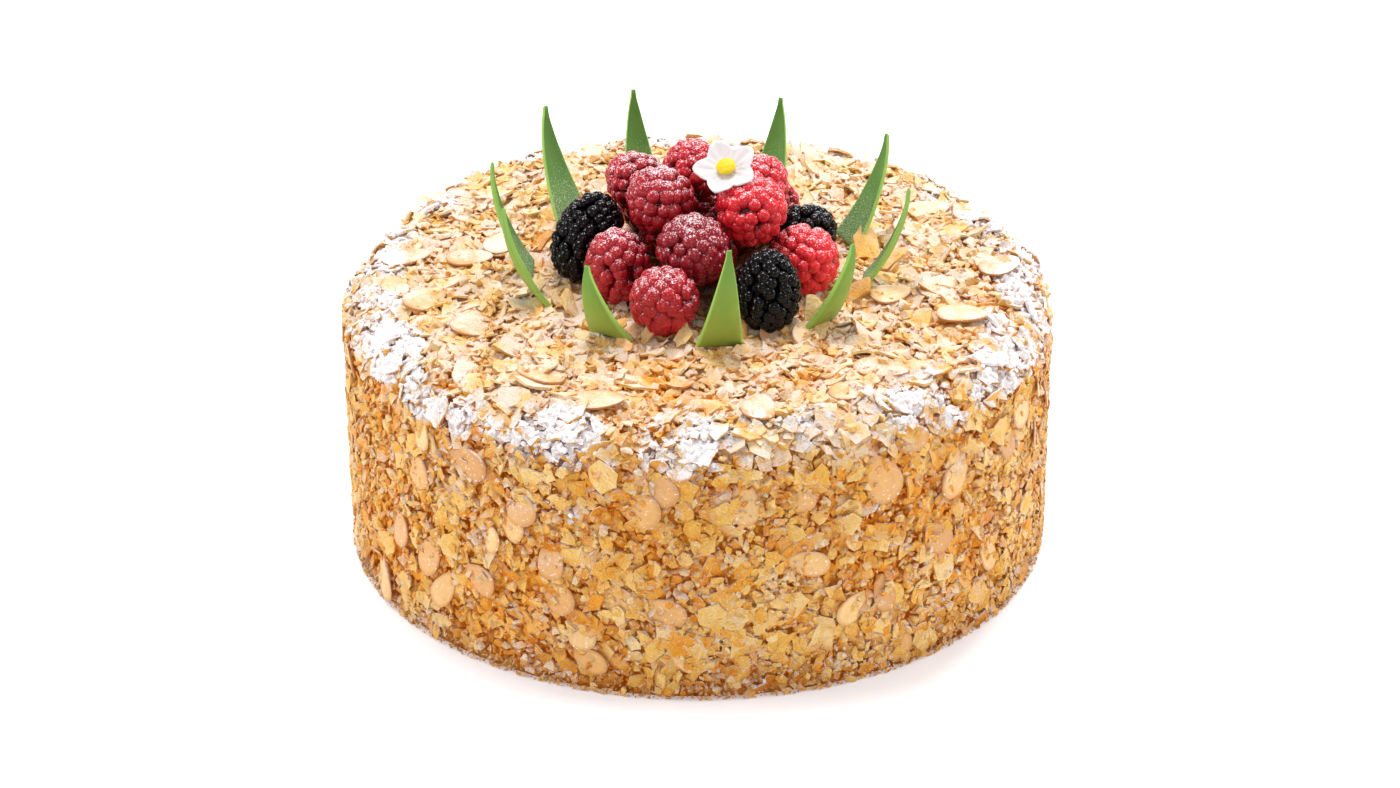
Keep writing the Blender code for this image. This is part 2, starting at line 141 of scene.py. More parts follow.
# Shapes of the bits of pastry, in the order in which they are drawn: how many, corners, narrowest and
# widest and, for torn ones, parts of a side, raggedness, thickness and curl
PASTRY_SHAPES = (
    ("flake", 14, 6, 0.55, 0.95, 2, 0.36, 0.06, 0.7),
    ("scrap", 14, 6, 0.45, 0.9, 1, 0.36, 0.09, 0.7),
    ("sliver", 10, 5, 0.25, 0.5, 1, 0.3, 0.14, 0.6),
    ("crumb", 8, 9, 0.5, 0.9),
    ("chunk", 10, 12, 0.5, 0.8),
    ("chip", 6, 6, 0.4, 0.6, 2, 0.3, 0.09, 0.5),
)

# Layers of pastry, as they are strewn: slants in degrees, width and number of bits on the side over those
# on the top, in millimetres how high a layer lies, how unevenly and how near the floor, number under the
# heap over that beside it, how much darker it is, and seed
Layer = namedtuple("Layer", (
    "kind", "top_slant", "side_slant", "side_size", "side_share", "raise_by", "sink", "lowest",
    "under_heap", "darker", "seed"))
LAYER_UNITS = {
    "top_slant": math.radians(1), "side_slant": math.radians(1), "side_size": 1, "side_share": 1,
    "raise_by": MM, "sink": MM, "lowest": MM, "under_heap": 1}
SIZE_SKEW = 1.7  # the higher, the more of a layer's bits are small
LAYERS = (
    Layer("flake", 19, 17, 0.78, 0.85, 0.7, 0.9, 4.0, 0.25, 0.0, 3),
    Layer("scrap", 27, 28, 0.92, 1.0, 0.5, 1.1, 1.5, 0.8, 0.02, 4),
    Layer("sliver", 40, 46, 0.85, 1.0, 0.0, 1.2, 1.0, 0.9, 0.03, 5),
    Layer("chunk", 180, 180, 0.92, 1.0, 0.9, 0.9, 1.2, 1.0, 0.0, 6),
    Layer("crumb", 180, 180, 0.9, 1.0, 0.3, 1.3, 0.2, 1.0, 0.0, 7),
    Layer("loose_crumb", 180, 180, 1.0, 1.0, 0.2, 0.3, 0.1, 1.0, 0.1, 8),
)

# Flakes that stand between the berries and the leaves
CHIPS = (
    # azimuth, distance from the middle, length, turn about the normal, tip-up
    (-101, 40, 8, 70, 50), (-107, 46, 9, 20, 62), (-95, 47, 9, 60, 36), (-59, 47, 13, 152, 44),
    (-43, 45, 11, 75, 62), (16, 52, 15, 100, 30), (-119, 46, 8, 40, 30), (-145, 45, 11, 120, 44),
    (-163, 49, 9, 60, 38), (4, 57, 12, 30, 22), (-74, 45, 9, 100, 48), (-20, 49, 11, 10, 40),
    (40, 49, 10, 130, 46), (85, 48, 11, 20, 44), (125, 50, 10, 70, 40), (160, 49, 9, 15, 46),
)
LEAF_CHIPS = 4  # that lie against each leaf's foot

# Berries: node, width and length (mm), azimuth and elevation of the tip, sugar dust, darkness (on the inner
# berries partly painted shade)
BERRIES = (
    ("raspberry_front", 20.4, 20.8, -110, 52, 0.8, 0.5),
    ("bramble_front", 19.4, 25.0, 110, 82, 0.20, 0.0),
    ("raspberry_right", 21.4, 21.2, -60, 35, 0.72, 0.0),
    ("bramble_right", 18.0, 21.6, 28, 8, 0.40, 0.0),
    ("raspberry_back_right", 18.2, 18.6, 55, 50, 0.50, 0.3),
    ("raspberry_back", 18.4, 18.8, 95, 40, 0.60, 0.4),
    ("raspberry_back_left", 18.2, 18.6, 120, 55, 0.60, 0.4),
    ("raspberry_small", 17.2, 17.0, 150, 60, 0.60, 0.5),
    ("bramble_left", 20.2, 28.6, 62, 44, 0.25, 0.0),
    ("raspberry_left", 20.0, 24.0, -125, 78, 0.85, 0.55),
    ("raspberry_middle", 18.0, 18.2, 0, 85, 0.40, 0.6),
    ("raspberry_inner_left", 17.8, 17.8, 180, 80, 0.40, 0.6),
    ("raspberry_inner_right", 17.8, 17.8, 30, 80, 0.40, 0.6),
    ("raspberry_upper_front", 21.6, 22.0, -65, 20, 0.75, 0.8),
    ("raspberry_upper_left", 20.4, 21.2, -150, 62, 0.85, 0.6),
    ("raspberry_upper_right", 21.2, 21.0, -30, 25, 0.70, 0.12),
    ("raspberry_top_left", 18.0, 18.4, 160, 30, 0.85, 0.5),
    ("raspberry_top", 18.8, 18.8, 80, 68, 0.65, 0.4),
    ("raspberry_top_right", 18.4, 18.6, 25, 40, 0.70, 0.2),
)

# Kinds of berry: spacing of the beads over their radius, taper to the tip, share of beads with a hair
BERRY_KINDS = {"raspberry": (1.7, 0.13, 0.3), "bramble": (1.88, 0.09, 0.06)}
CLOSE_PACKING = 0.866  # area that a bead takes up among its neighbours, over the spacing's square

# Leaves: node, azimuth on the ring, width, how far its tip is out, up and aside (mm), bend (degrees)
LEAF_RING = 48.5 * MM
LEAF_THICK = 1.8 * MM
# Across a leaf, edge to edge: place and share of the thickness
LEAF_EDGES = ((-1, 0.62), (-0.95, 0.98), (-0.6, 1), (-0.2, 1), (0.2, 1), (0.6, 1), (0.95, 0.98), (1, 0.62))
LEAVES = (
    ("leaf_front", -83, 13.6, 12.4, 35.5, 1.2, 42),
    ("leaf_front_right", -45, 13.0, 13.0, 29.5, -0.5, 42),
    ("leaf_right", -10, 12.6, 13.0, 31.5, 0.0, 42),
    ("leaf_back_right", 24.5, 14.0, 13.0, 33.0, 0.0, 42),
    ("leaf_back", 66, 13.6, 13.5, 31.5, 0.0, 42),
    ("leaf_back_middle", 109, 13.6, 12.0, 34.0, 0.0, 42),
    ("leaf_back_left", 139, 14.6, 12.0, 36.0, 0.0, 42),
    ("leaf_left", 180, 12.6, 11.0, 35.0, 0.0, 42),
    ("leaf_front_left", -157, 12.6, 11.4, 31.0, 0.0, 42),
    ("leaf_front_middle", -120, 14.0, 10.6, 26.0, -1.4, 50),
)

# Flower
FLOWER_CENTRE = Vector((8.3, -7.4, 117.6)) * MM
FLOWER_FACES = (-106, 59)
FLOWER_SPIN = 49
FLOWER_RADIUS = 9.8 * MM
FLOWER_THICK = 1.0 * MM
FLOWER_CUP = 2.6 * MM
FLOWER_NOTCH = 0.68
PETALS = 5
EYE_RADIUS = 3.0 * MM
EYE_HEIGHT = 2.5 * MM

# Camera and studio
CAMERA_PLACE = (0.6 * MM, -903 * MM, 516 * MM)
CAMERA_DOWN = 27.73  # degrees below the horizon
CAMERA_LENS = 87.57
FLOOR_REACH = 6.0  # from its middle
FLOOR_GLOW, SKY_LIGHT = 0.22, 0.5
LAMP_TARGET = (0, 0, 60 * MM)
LAMPS = (
    # name, place, size of its disk, watts
    ("overhead", (-0.1, 0.15, 1.15), 0.42, 7.8),
    ("key", (0.42, 0.6, 1.0), 0.22, 4.8),
    ("left", (-1.15, -0.1, 0.55), 0.5, 6.4),
    ("right", (1.15, 0.0, 0.6), 0.45, 5.8),
    ("behind", (0.1, 1.2, 0.55), 0.6, 4.0),
    ("front", (0.1, -1.4, 0.9), 0.5, 2.4),
)


def titled(key):
    """A key of this script as people read it."""
    return key.replace("_", " ").capitalize()


def srgb(code):
    """Linear colour, with full alpha, of a six-digit web code."""
    channels = [int(code[start:start + 2], 16) / 255 for start in (0, 2, 4)]
    linear = [c / 12.92 if c <= 0.04045 else ((c + 0.055) / 1.055) ** 2.4 for c in channels]
    return (*linear, 1.0)


def heading(azimuth, elevation):
    """Unit vector for an azimuth from +X and an elevation, in degrees."""
    a, e = math.radians(azimuth), math.radians(elevation)
    return Vector((math.cos(a) * math.cos(e), math.sin(a) * math.cos(e), math.sin(e)))


def upright(height):
    """Vector that points up."""
    return Vector((0, 0, height))


def turned_to(direction, spin=0.0):
    """Rotation that turns +Z to this direction, after a spin about +Z."""
    return direction.to_track_quat("Z", "Y") @ Euler((0, 0, spin)).to_quaternion()


# ---------------------------------------------------------------- node trees


def find_socket(sockets, key):
    """A socket by its number, or the one in use that bears this name."""
    if isinstance(key, int):
        return sockets[key]
    return next(socket for socket in sockets if socket.name == key and socket.enabled)


class Socket:
    """A node's output. Arithmetic on it, with numbers or other outputs, adds Math nodes."""

    def __init__(self, tree, link):
        self.tree = tree
        self.link = link

    def also(self, key):
        """Another output of the same node."""
        return Socket(self.tree, find_socket(self.link.node.outputs, key))

    def maths(self, operation, *values):
        return self.tree.node("ShaderNodeMath", {"operation": operation}, dict(enumerate(values)))

    def at_most(self, other):
        return self.maths("MINIMUM", self, other)

    def at_least(self, other):
        return self.maths("MAXIMUM", self, other)

    def sine(self):
        return self.maths("SINE", self)

    def cosine(self):
        return self.maths("COSINE", self)

    def step(self, low, high):
        """Rises smoothly from 0 at low to 1 at high."""
        inputs = {"Value": self, "From Min": low, "From Max": high}
        return self.tree.node("ShaderNodeMapRange", {"interpolation_type": "SMOOTHSTEP"}, inputs)


def overload(sign, operation):
    """Lets one of Python's signs, with the output on either side of it, add this Math node."""
    setattr(Socket, f"__{sign}__", lambda self, other: self.maths(operation, self, other))
    setattr(Socket, f"__r{sign}__", lambda self, other: self.maths(operation, other, self))


for sign_name, node_operation in {
        "add": "ADD", "sub": "SUBTRACT", "mul": "MULTIPLY", "truediv": "DIVIDE", "pow": "POWER",
        "lt": "LESS_THAN", "gt": "GREATER_THAN"}.items():
    overload(sign_name, node_operation)


def painted(paint):
    """A colour, or the one that the cake's settings hold under this name."""
    return tuple(getattr(bpy.context.scene.napoleon_cake, paint)) if isinstance(paint, str) else paint


class Tree:
    """A node tree in the making."""

    def __init__(self, tree):
        self.tree = tree

    def node(self, kind, settings=None, inputs=None, output=0):
        """Adds a node: its settings first, then the values or links of its sockets."""
        made = self.tree.nodes.new(kind)
        for name, value in (settings or {}).items():
            if name == "stops":
                self.set_stops(made.color_ramp, value)
            else:
                setattr(made, name, value)
        for key, value in (inputs or {}).items():
            socket = find_socket(made.inputs, key)
            if isinstance(value, Socket):
                self.tree.links.new(value.link, socket)
            else:
                socket.default_value = value
        return Socket(self, find_socket(made.outputs, output))

    @staticmethod
    def set_stops(ramp, stops):
        """Gives a colour ramp these (place, colour) stops."""
        while len(ramp.elements) < len(stops):
            ramp.elements.new(1.0)
        for element, (place, colour) in zip(ramp.elements, stops):
            element.position = place
            element.color = colour

    def noise(self, size, detail=2.0, roughness=0.5):
        """Noise between 0 and 1 whose lumps are about this size."""
        inputs = {"Vector": self.place, "Scale": 1 / size, "Detail": detail, "Roughness": roughness}
        return self.node("ShaderNodeTexNoise", {"noise_dimensions": "3D"}, inputs)

    def plates(self, size):
        """Relief of plates about this wide, each with a tilt of its own, and a number for each."""
        inputs = {"Vector": self.place, "Scale": 1 / size}
        cell = self.node("ShaderNodeTexVoronoi", {"voronoi_dimensions": "3D"}, inputs, "Position")
        lean = self.vector("SUBTRACT", cell.also("Color"), (0.5, 0.5, 0.5))
        away = self.vector("SUBTRACT", self.place, cell)
        return self.vector("DOT_PRODUCT", away, lean, output="Value"), self.split(lean)[0] + 0.5

    def mixed(self, factor, first, second):
        """A colour between two others."""
        inputs = {"Factor": factor, "A": painted(first), "B": painted(second)}
        return self.node("ShaderNodeMix", {"data_type": "RGBA"}, inputs, "Result")

    def vector(self, operation, *values, output="Vector"):
        return self.node("ShaderNodeVectorMath", {"operation": operation}, dict(enumerate(values)), output)

    def scaled(self, way, amount):
        return self.node("ShaderNodeVectorMath", {"operation": "SCALE"}, {0: way, "Scale": amount})

    def split(self, place):
        """The three parts of a vector."""
        x = self.node("ShaderNodeSeparateXYZ", None, {0: place})
        return x, x.also("Y"), x.also("Z")

    def joined(self, x, y, z):
        return self.node("ShaderNodeCombineXYZ", None, {0: x, 1: y, 2: z})

    def ramp(self, factor, *stops):
        """A colour that runs through these (place, colour) stops."""
        stops = [(place, painted(paint)) for place, paint in stops]
        return self.node("ShaderNodeValToRGB", {"stops": stops}, {"Fac": factor}, "Color")

    def from_axis(self):
        """How far a point is from the cake's upright axis."""
        x, y, _ = self.split(self.place)
        return (x * x + y * y) ** 0.5


class Finish(Tree):
    """A material's tree, with what most finishes read."""

    def __init__(self, name):
        self.material = bpy.data.materials.new(name)
        self.material.use_nodes = True
        self.material.node_tree.nodes.clear()
        super().__init__(self.material.node_tree)
        coordinates = self.node("ShaderNodeTexCoord", None, None, "Object")
        self.place = coordinates
        self.normal = coordinates.also("Normal")
        self.upward = self.split(self.normal)[2]

    def attribute(self, name):
        settings = {"attribute_type": "GEOMETRY", "attribute_name": name}
        return self.node("ShaderNodeAttribute", settings, None, "Fac")

    def bump(self, height, depth, strength=1.0):
        """A Normal for relief of this depth in metres."""
        return self.node("ShaderNodeBump", None, {"Strength": strength, "Distance": depth, "Height": height})

    def principled(self, **values):
        """Ends the tree in a Principled shader. Words in a socket's name are joined by underscores."""
        names = {name: name.replace("_", " ").title().replace("Ior", "IOR") for name in values}
        inputs = {names[name]: value for name, value in values.items()}
        shader = self.node("ShaderNodeBsdfPrincipled", None, inputs)
        output = self.tree.nodes.new("ShaderNodeOutputMaterial")
        self.tree.links.new(shader.link, output.inputs["Surface"])
        return self.material


class Growth(Tree):
    """A Geometry Nodes tree with named inputs."""

    def __init__(self, name, inputs):
        super().__init__(bpy.data.node_groups.new(name, "GeometryNodeTree"))
        face = self.tree.interface
        face.new_socket("Geometry", in_out="OUTPUT", socket_type="NodeSocketGeometry")
        face.new_socket("Geometry", in_out="INPUT", socket_type="NodeSocketGeometry")
        self.identifiers = {}
        for title, kind in inputs.items():
            made = face.new_socket(title, in_out="INPUT", socket_type=f"NodeSocket{kind}")
            self.identifiers[title] = made.identifier
        self.group = self.node("NodeGroupInput")
        self.place = self.node("GeometryNodeInputPosition")
        self.upward = self.split(self.node("GeometryNodeInputNormal"))[2]

    def value(self, title):
        return self.group.also(title)

    def random(self, low, high, number):
        """A random number for each element. Draws with different numbers differ."""
        inputs = {"Min": low, "Max": high, "Seed": self.value("Seed") + number}
        return self.node("FunctionNodeRandomValue", {"data_type": "FLOAT"}, inputs, "Value")

    def named(self, name, kind):
        """An attribute of the mesh that the tree grows on."""
        return self.node("GeometryNodeInputNamedAttribute", {"data_type": kind}, {"Name": name}, "Attribute")

    def stored(self, geometry, name, value, domain="POINT"):
        settings = {"data_type": "FLOAT", "domain": domain}
        inputs = {"Geometry": geometry, "Name": name, "Value": value}
        return self.node("GeometryNodeStoreNamedAttribute", settings, inputs)

    def moved(self, geometry, offset=None, position=None):
        inputs = {"Geometry": geometry}
        if offset is not None:
            inputs["Offset"] = offset
        if position is not None:
            inputs["Position"] = position
        return self.node("GeometryNodeSetPosition", None, inputs)

    def shapes(self):
        """The collection's shapes, one instance for each."""
        return self.node("GeometryNodeCollectionInfo", None, {
            "Collection": self.value("Shapes"), "Separate Children": True, "Reset Children": True})

    def smoothed(self, geometry):
        return self.node("GeometryNodeSetShadeSmooth", None, {"Geometry": geometry, "Shade Smooth": True})

    def realized(self, geometry):
        return self.node("GeometryNodeRealizeInstances", None, {"Geometry": geometry})

    def coloured(self, geometry, material="Material"):
        inputs = {"Geometry": geometry, "Material": self.value(material)}
        return self.node("GeometryNodeSetMaterial", None, inputs)

    def both(self, first, second):
        """Two geometries as one."""
        whole = self.node("GeometryNodeJoinGeometry", None, {"Geometry": first})
        self.tree.links.new(second.link, whole.link.node.inputs[0])
        return whole

    def ended(self, geometry):
        output = self.tree.nodes.new("NodeGroupOutput")
        self.tree.links.new(geometry.link, output.inputs[0])

    def finished(self, geometry):
        """Realizes the instances, gives them the material and ends the tree."""
        self.ended(self.coloured(self.realized(geometry)))


def placed(name, data):
    """A new object, linked to the scene."""
    made = bpy.data.objects.new(name, data)
    bpy.context.scene.collection.objects.link(made)
    return made


def evaluated(name, mesh, add_modifier):
    """The plain mesh that a modifier makes of another mesh."""
    carrier = placed(name, mesh)
    add_modifier(carrier.modifiers)
    graph = bpy.context.evaluated_depsgraph_get()
    made = bpy.data.meshes.new_from_object(
        carrier.evaluated_get(graph), preserve_all_data_layers=True, depsgraph=graph)
    made.name = name
    bpy.data.objects.remove(carrier)
    return made


def grown(name, mesh, growth, values):
    """The plain mesh that a Geometry Nodes tree makes of another mesh."""
    def add_growth(modifiers):
        modifier = modifiers.new("Growth", "NODES")
        modifier.node_group = growth.tree
        for title, value in values.items():
            modifier[growth.identifiers[title]] = value

    return evaluated(name, mesh, add_growth)


# ---------------------------------------------------------------- pieces


def piece(name, mesh, replaced=(), material=None):
    """Makes a mesh a piece of the cake, standing for these nodes of the frame."""
    if material is not None:
        mesh.materials.clear()
        mesh.materials.append(material)
    made = placed(name, mesh)
    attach(made, "root")
    if replaced:
        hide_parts(*replaced)
    return made


def mesh_from(bm, name):
    mesh = bpy.data.meshes.new(name)
    bm.to_mesh(mesh)
    bm.free()
    return mesh


def join_rings(bm, rings):
    """Makes the faces between each ring of vertices and the next."""
    for lower, upper in zip(rings, rings[1:]):
        for corner in range(len(lower)):
            after = (corner + 1) % len(lower)
            bm.faces.new((lower[corner], lower[after], upper[after], upper[corner]))


def close_ring(bm, ring, middle):
    """Makes a fan of faces from a ring of vertices to a place in its middle."""
    middle = bm.verts.new(middle)
    for corner in range(len(ring)):
        bm.faces.new((ring[corner], ring[(corner + 1) % len(ring)], middle))


def smooth_mesh(bm, name):
    """The finished mesh, smooth and with its faces outward."""
    bmesh.ops.recalc_face_normals(bm, faces=bm.faces[:])
    mesh = mesh_from(bm, name)
    mesh.shade_smooth()
    return mesh


# ---------------------------------------------------------------- the coat


def rows_between(low, high, step):
    """Evenly spaced numbers about a step apart, from low up to the one before high."""
    count = max(1, round(abs(high - low) / step))
    return [low + (high - low) * row / count for row in range(count)]


def coat_profile(step, inset):
    """Points (radius, height) down the half section, from the middle of the top to that of the base."""
    top, rounding = COAT_TOP - inset, RIM_ROUND - inset
    points = [(0, top), (BARE_RADIUS / 2, top)]
    points += [(radius, top) for radius in rows_between(BARE_RADIUS, RIM_START, step)]
    for turn in rows_between(0, math.pi / 2, step / RIM_ROUND):
        points.append((RIM_START + rounding * math.sin(turn), RIM_LOW + rounding * math.cos(turn)))
    side = COAT_RADIUS - inset
    points += [(side, height) for height in rows_between(RIM_LOW, FOOT_HIGH, step)]
    points += [(side, FOOT_HIGH), (side + FOOT_SPILL, FOOT_EDGE), (side - FOOT_HIGH, 0)]
    return [*points, (side / 2, 0), (0, 0)]


def turned_mesh(profile, step, name):
    """The surface that a profile of radii and heights sweeps about the cake's middle."""
    bm = bmesh.new()
    sides = round(math.tau * COAT_RADIUS / step)
    turns = [math.tau * side / sides for side in range(sides)]
    rings = []
    for radius, height in profile:
        if radius == 0:
            rings.append([bm.verts.new((0, 0, height))])
            continue
        spots = [(radius * math.cos(turn), radius * math.sin(turn), height) for turn in turns]
        rings.append([bm.verts.new(spot) for spot in spots])
    for upper, lower in zip(rings, rings[1:]):
        for side in range(sides):
            after = (side + 1) % sides
            corners = [upper[side % len(upper)], lower[side % len(lower)],
                       lower[after % len(lower)], upper[after % len(upper)]]
            bm.faces.new(list(dict.fromkeys(corners)))
    for face in bm.faces:
        face.smooth = True
    return mesh_from(bm, name)


def coat_mesh(step, inset=0.0):
    """The smooth turned body under the coat, with points about this far apart."""
    return turned_mesh(coat_profile(step, inset), step, "coat")


def foot_mesh():
    """The strip at the foot that loose crumbs lie against, and the floor next to it."""
    spills = ((0.0, 5 * MM), (0.5 * MM, 2 * MM), (FOOT_SPILL, 0.5 * MM), (FOOT_SPILL + 0.7 * MM, FOOT_EDGE))
    return turned_mesh([(COAT_RADIUS + spill, height) for spill, height in spills], BED_STEP, "foot")


def coat_growth():
    """Swells and roughens the coat, heaps it up at the back of the top and, where plates are asked for,
    breaks it into flaky crumbs."""
    growth = Growth("Crumb coat", {
        "Relief": "Float", "Crag": "Float", "Plates": "Float", "Material": "Material"})
    crag = growth.value("Crag")
    swells = growth.noise(34 * MM, 0.0)
    crags = growth.noise(crag, 1.0)
    wide, number = growth.plates(crag * 0.8)
    narrow, _ = growth.plates(crag * 0.36)
    crumbs = growth.noise(crag * 0.2, 1.0)
    flaky = wide * 1.0 + narrow * 1.5 + (crumbs - 0.5) * 0.9 * MM
    rise = (swells - 0.5) * 4 * MM + (crags - 0.5) * growth.value("Relief") + flaky * growth.value("Plates")
    _, y, height = growth.split(growth.place)
    rise = rise * height.step(0.1 * MM, 2 * MM)
    offset = growth.scaled(growth.node("GeometryNodeInputNormal"), rise)
    piled = y.step(0.3 * COAT_RADIUS, 0.8 * COAT_RADIUS) * height.step(RIM_LOW, COAT_TOP - 2 * MM)
    offset = growth.vector("ADD", offset, growth.joined(0.0, 0.0, piled * BACK_PILE))
    rough = growth.stored(growth.moved(growth.group.also("Geometry"), offset), "tone", number)
    end_coat(growth, rough)
    return growth


def beside_rim(tree):
    """How far a point is out from the middle of the rounded rim, and how far above it."""
    return tree.from_axis() - RIM_START, tree.split(tree.place)[2] - RIM_LOW


def sugar_cover(tree):
    """How much icing sugar lies at a point: a broken band along the rim, and drifts on the side."""
    across, up = beside_rim(tree)
    down = across - up
    band = down.step(-27 * MM, -8 * MM) * (1 - down.step(4 * MM, 19 * MM))
    clouds = tree.noise(17 * MM, 1.0)
    lumps = tree.noise(4.5 * MM, 3.0, 0.6)
    cover = band * (0.8 + (clouds - 0.5) * 3.2 + (lumps - 0.5) * 2.4)
    for azimuth, drift_height, reach in SUGAR_DRIFTS:
        spot = heading(azimuth, 0) * COAT_RADIUS + upright(drift_height)
        away = tree.vector("DISTANCE", tree.place, spot, output="Value")
        cover = cover.at_least((1 - away / reach) + (lumps - 0.5) * 1.6)
    return cover * tree.upward.step(-0.35, 0.35)


def noted(growth, geometry):
    """Notes on each point how far it stands out of the smooth coat."""
    across, up = beside_rim(growth)
    corner = (across.at_least(0.0) ** 2.0 + up.at_least(0.0) ** 2.0) ** 0.5
    return growth.stored(geometry, "proud", corner + across.at_least(up).at_most(0.0) - RIM_ROUND)


def pressed(growth, geometry):
    """Presses what stands out too far back towards the cake, and keeps all of it above the floor."""
    x, y, height = growth.split(growth.place)
    out = (x * x + y * y).at_least(MM * MM) ** 0.5
    over = (out - (REACH - GIVE)).at_least(0.0)
    inward = (out.at_most(REACH - GIVE) + over * GIVE / (over + GIVE)) / out
    place = growth.joined(x * inward, y * inward, height.at_least(FLOOR_GAP))
    return growth.moved(geometry, position=place)


def end_coat(growth, geometry):
    """Makes all of it one mesh inside the cake's reach, with its notes, and ends the tree."""
    growth.finished(noted(growth, pressed(growth, growth.realized(geometry))))


def strewing():
    """Strews a collection's shapes over the coat, at slants that are steeper on the side."""
    growth = Growth("Strewn pastry", {
        "Shapes": "Collection", "Seed": "Int", "Material": "Material",
        **dict.fromkeys(("Spacing", "Smallest", "Largest", *map(titled, LAYER_UNITS)), "Float")})
    spacing, under_heap = growth.value("Spacing"), growth.value("Under heap")
    height = growth.split(growth.place)[2]
    clear = growth.from_axis().step(BARE_RADIUS, HEAP_RADIUS)
    shows = (clear * (1 - under_heap) + under_heap).at_least(height < CAKE_TOP - 6 * MM)
    on_side = height < RIM_LOW
    shows = shows * (height > growth.value("Lowest")) * (1 - on_side * (1 - growth.value("Side share")))
    points = growth.node("GeometryNodeDistributePointsOnFaces", {"distribute_method": "POISSON"}, {
        "Mesh": growth.group.also("Geometry"), "Distance Min": spacing,
        "Density Max": 3.5 / (spacing * spacing), "Density Factor": shows, "Seed": growth.value("Seed")})
    normal, facing = points.also("Normal"), points.also("Rotation")

    steep = (COAT_TOP - height).step(2 * MM, 16 * MM)
    slant = growth.value("Top slant") * (1 - steep) + growth.value("Side slant") * steep
    tip = growth.random(-1.0, 1.0, 1) * slant
    roll = growth.random(-1.0, 1.0, 2) * slant
    spin = growth.random(0.0, math.tau, 3)
    turn = growth.node("FunctionNodeEulerToRotation", None, {0: growth.joined(tip, roll, spin)})
    facing = growth.node("FunctionNodeRotateRotation", {"rotation_space": "LOCAL"}, {0: facing, 1: turn})

    size = growth.value("Smallest")
    size = size + (growth.value("Largest") - size) * growth.random(0.0, 1.0, 4) ** SIZE_SKEW
    size = size * (1 - steep * (1 - growth.value("Side size")))
    lift = growth.value("Raise by") * (1 - steep * 0.6) + growth.random(-0.7, 0.7, 5) * growth.value("Sink")
    lifted = growth.moved(points, growth.scaled(normal, lift))
    pick = growth.random(0.0, 999.0, 6)
    strewn = growth.node("GeometryNodeInstanceOnPoints", None, {
        "Points": lifted, "Instance": growth.shapes(), "Pick Instance": True, "Instance Index": pick,
        "Rotation": facing, "Scale": growth.joined(size, size, size)})
    end_coat(growth, growth.stored(strewn, "tone", growth.random(0.0, 1.0, 7), "INSTANCE"))
    return growth


def shape_collection(name, meshes):
    """A collection of shapes one unit across, for Geometry Nodes to pick from."""
    made = bpy.data.collections.new(name)
    bpy.context.scene.collection.children.link(made)
    for number, mesh in enumerate(meshes):
        made.objects.link(bpy.data.objects.new(f"{name}_{number:02d}", mesh))
    return made


def drop_collection(collection):
    for old in list(collection.objects):
        bpy.data.objects.remove(old)
    bpy.data.collections.remove(collection)


def torn_outline(rng, sides, splits, ragged, narrow):
    """A torn outline one unit across: uneven sides, each frayed at its inner corners."""
    main = []
    for side in range(sides):
        turn = math.tau * (side + rng.uniform(-0.36, 0.36)) / sides
        reach = 0.5 * rng.uniform(1 - ragged, 1 + 0.5 * ragged)
        main.append(Vector((reach * math.cos(turn), reach * narrow * math.sin(turn))))
    outline = []
    for start, end in zip(main, main[1:] + main[:1]):
        outline.append(start)
        for split in range(1, splits):
            corner = start.lerp(end, (split + rng.uniform(-0.2, 0.2)) / splits)
            outline.append(corner * rng.uniform(0.84, 1.1))
    return outline


def torn_shape(rng, sides, narrow, splits, ragged, thick, curl):
    """A torn scrap of pastry one unit across, bent and uneven, as a closed thin plate."""
    bm = bmesh.new()
    outline = torn_outline(rng, sides, splits, ragged, narrow)
    bend_x, bend_y, twist = rng.uniform(-curl, curl), rng.uniform(-curl, curl), rng.uniform(-curl, curl)

    def lifted(spot, lift):
        x, y = spot
        return x, y, bend_x * x * x + bend_y * y * y + twist * x * y + lift

    below = [bm.verts.new(lifted(spot, -thick / 2)) for spot in outline]
    above = [bm.verts.new(lifted(spot, thick * rng.uniform(0.15, 0.85))) for spot in outline]
    join_rings(bm, (below, above))
    close_ring(bm, below, (0, 0, -thick / 2))
    close_ring(bm, above, (0, 0, rng.uniform(0.3, 1.2) * thick))
    mesh = smooth_mesh(bm, "torn")
    mesh.set_sharp_from_angle(angle=math.radians(32))
    return mesh


def crumb_shape(rng, points, flat):
    """A crumb one unit across: the hull of a few points."""
    bm = bmesh.new()
    for _ in range(points):
        way = Vector([rng.gauss(0, 1) for _ in range(3)]).normalized() * rng.uniform(0.42, 0.55)
        bm.verts.new((way.x, way.y * 0.85, way.z * flat))
    bmesh.ops.convex_hull(bm, input=bm.verts[:])
    bmesh.ops.delete(bm, geom=[v for v in bm.verts if not v.link_faces], context="VERTS")
    bmesh.ops.recalc_face_normals(bm, faces=bm.faces[:])
    return mesh_from(bm, "crumb")


def pastry_shape(rng, corners, narrowest, widest, *torn):
    """A torn scrap of pastry or, where nothing more is given, a crumb."""
    narrow = rng.uniform(narrowest, widest)
    return torn_shape(rng, corners, narrow, *torn) if torn else crumb_shape(rng, corners, narrow)


# ---------------------------------------------------------------- pastry finishes


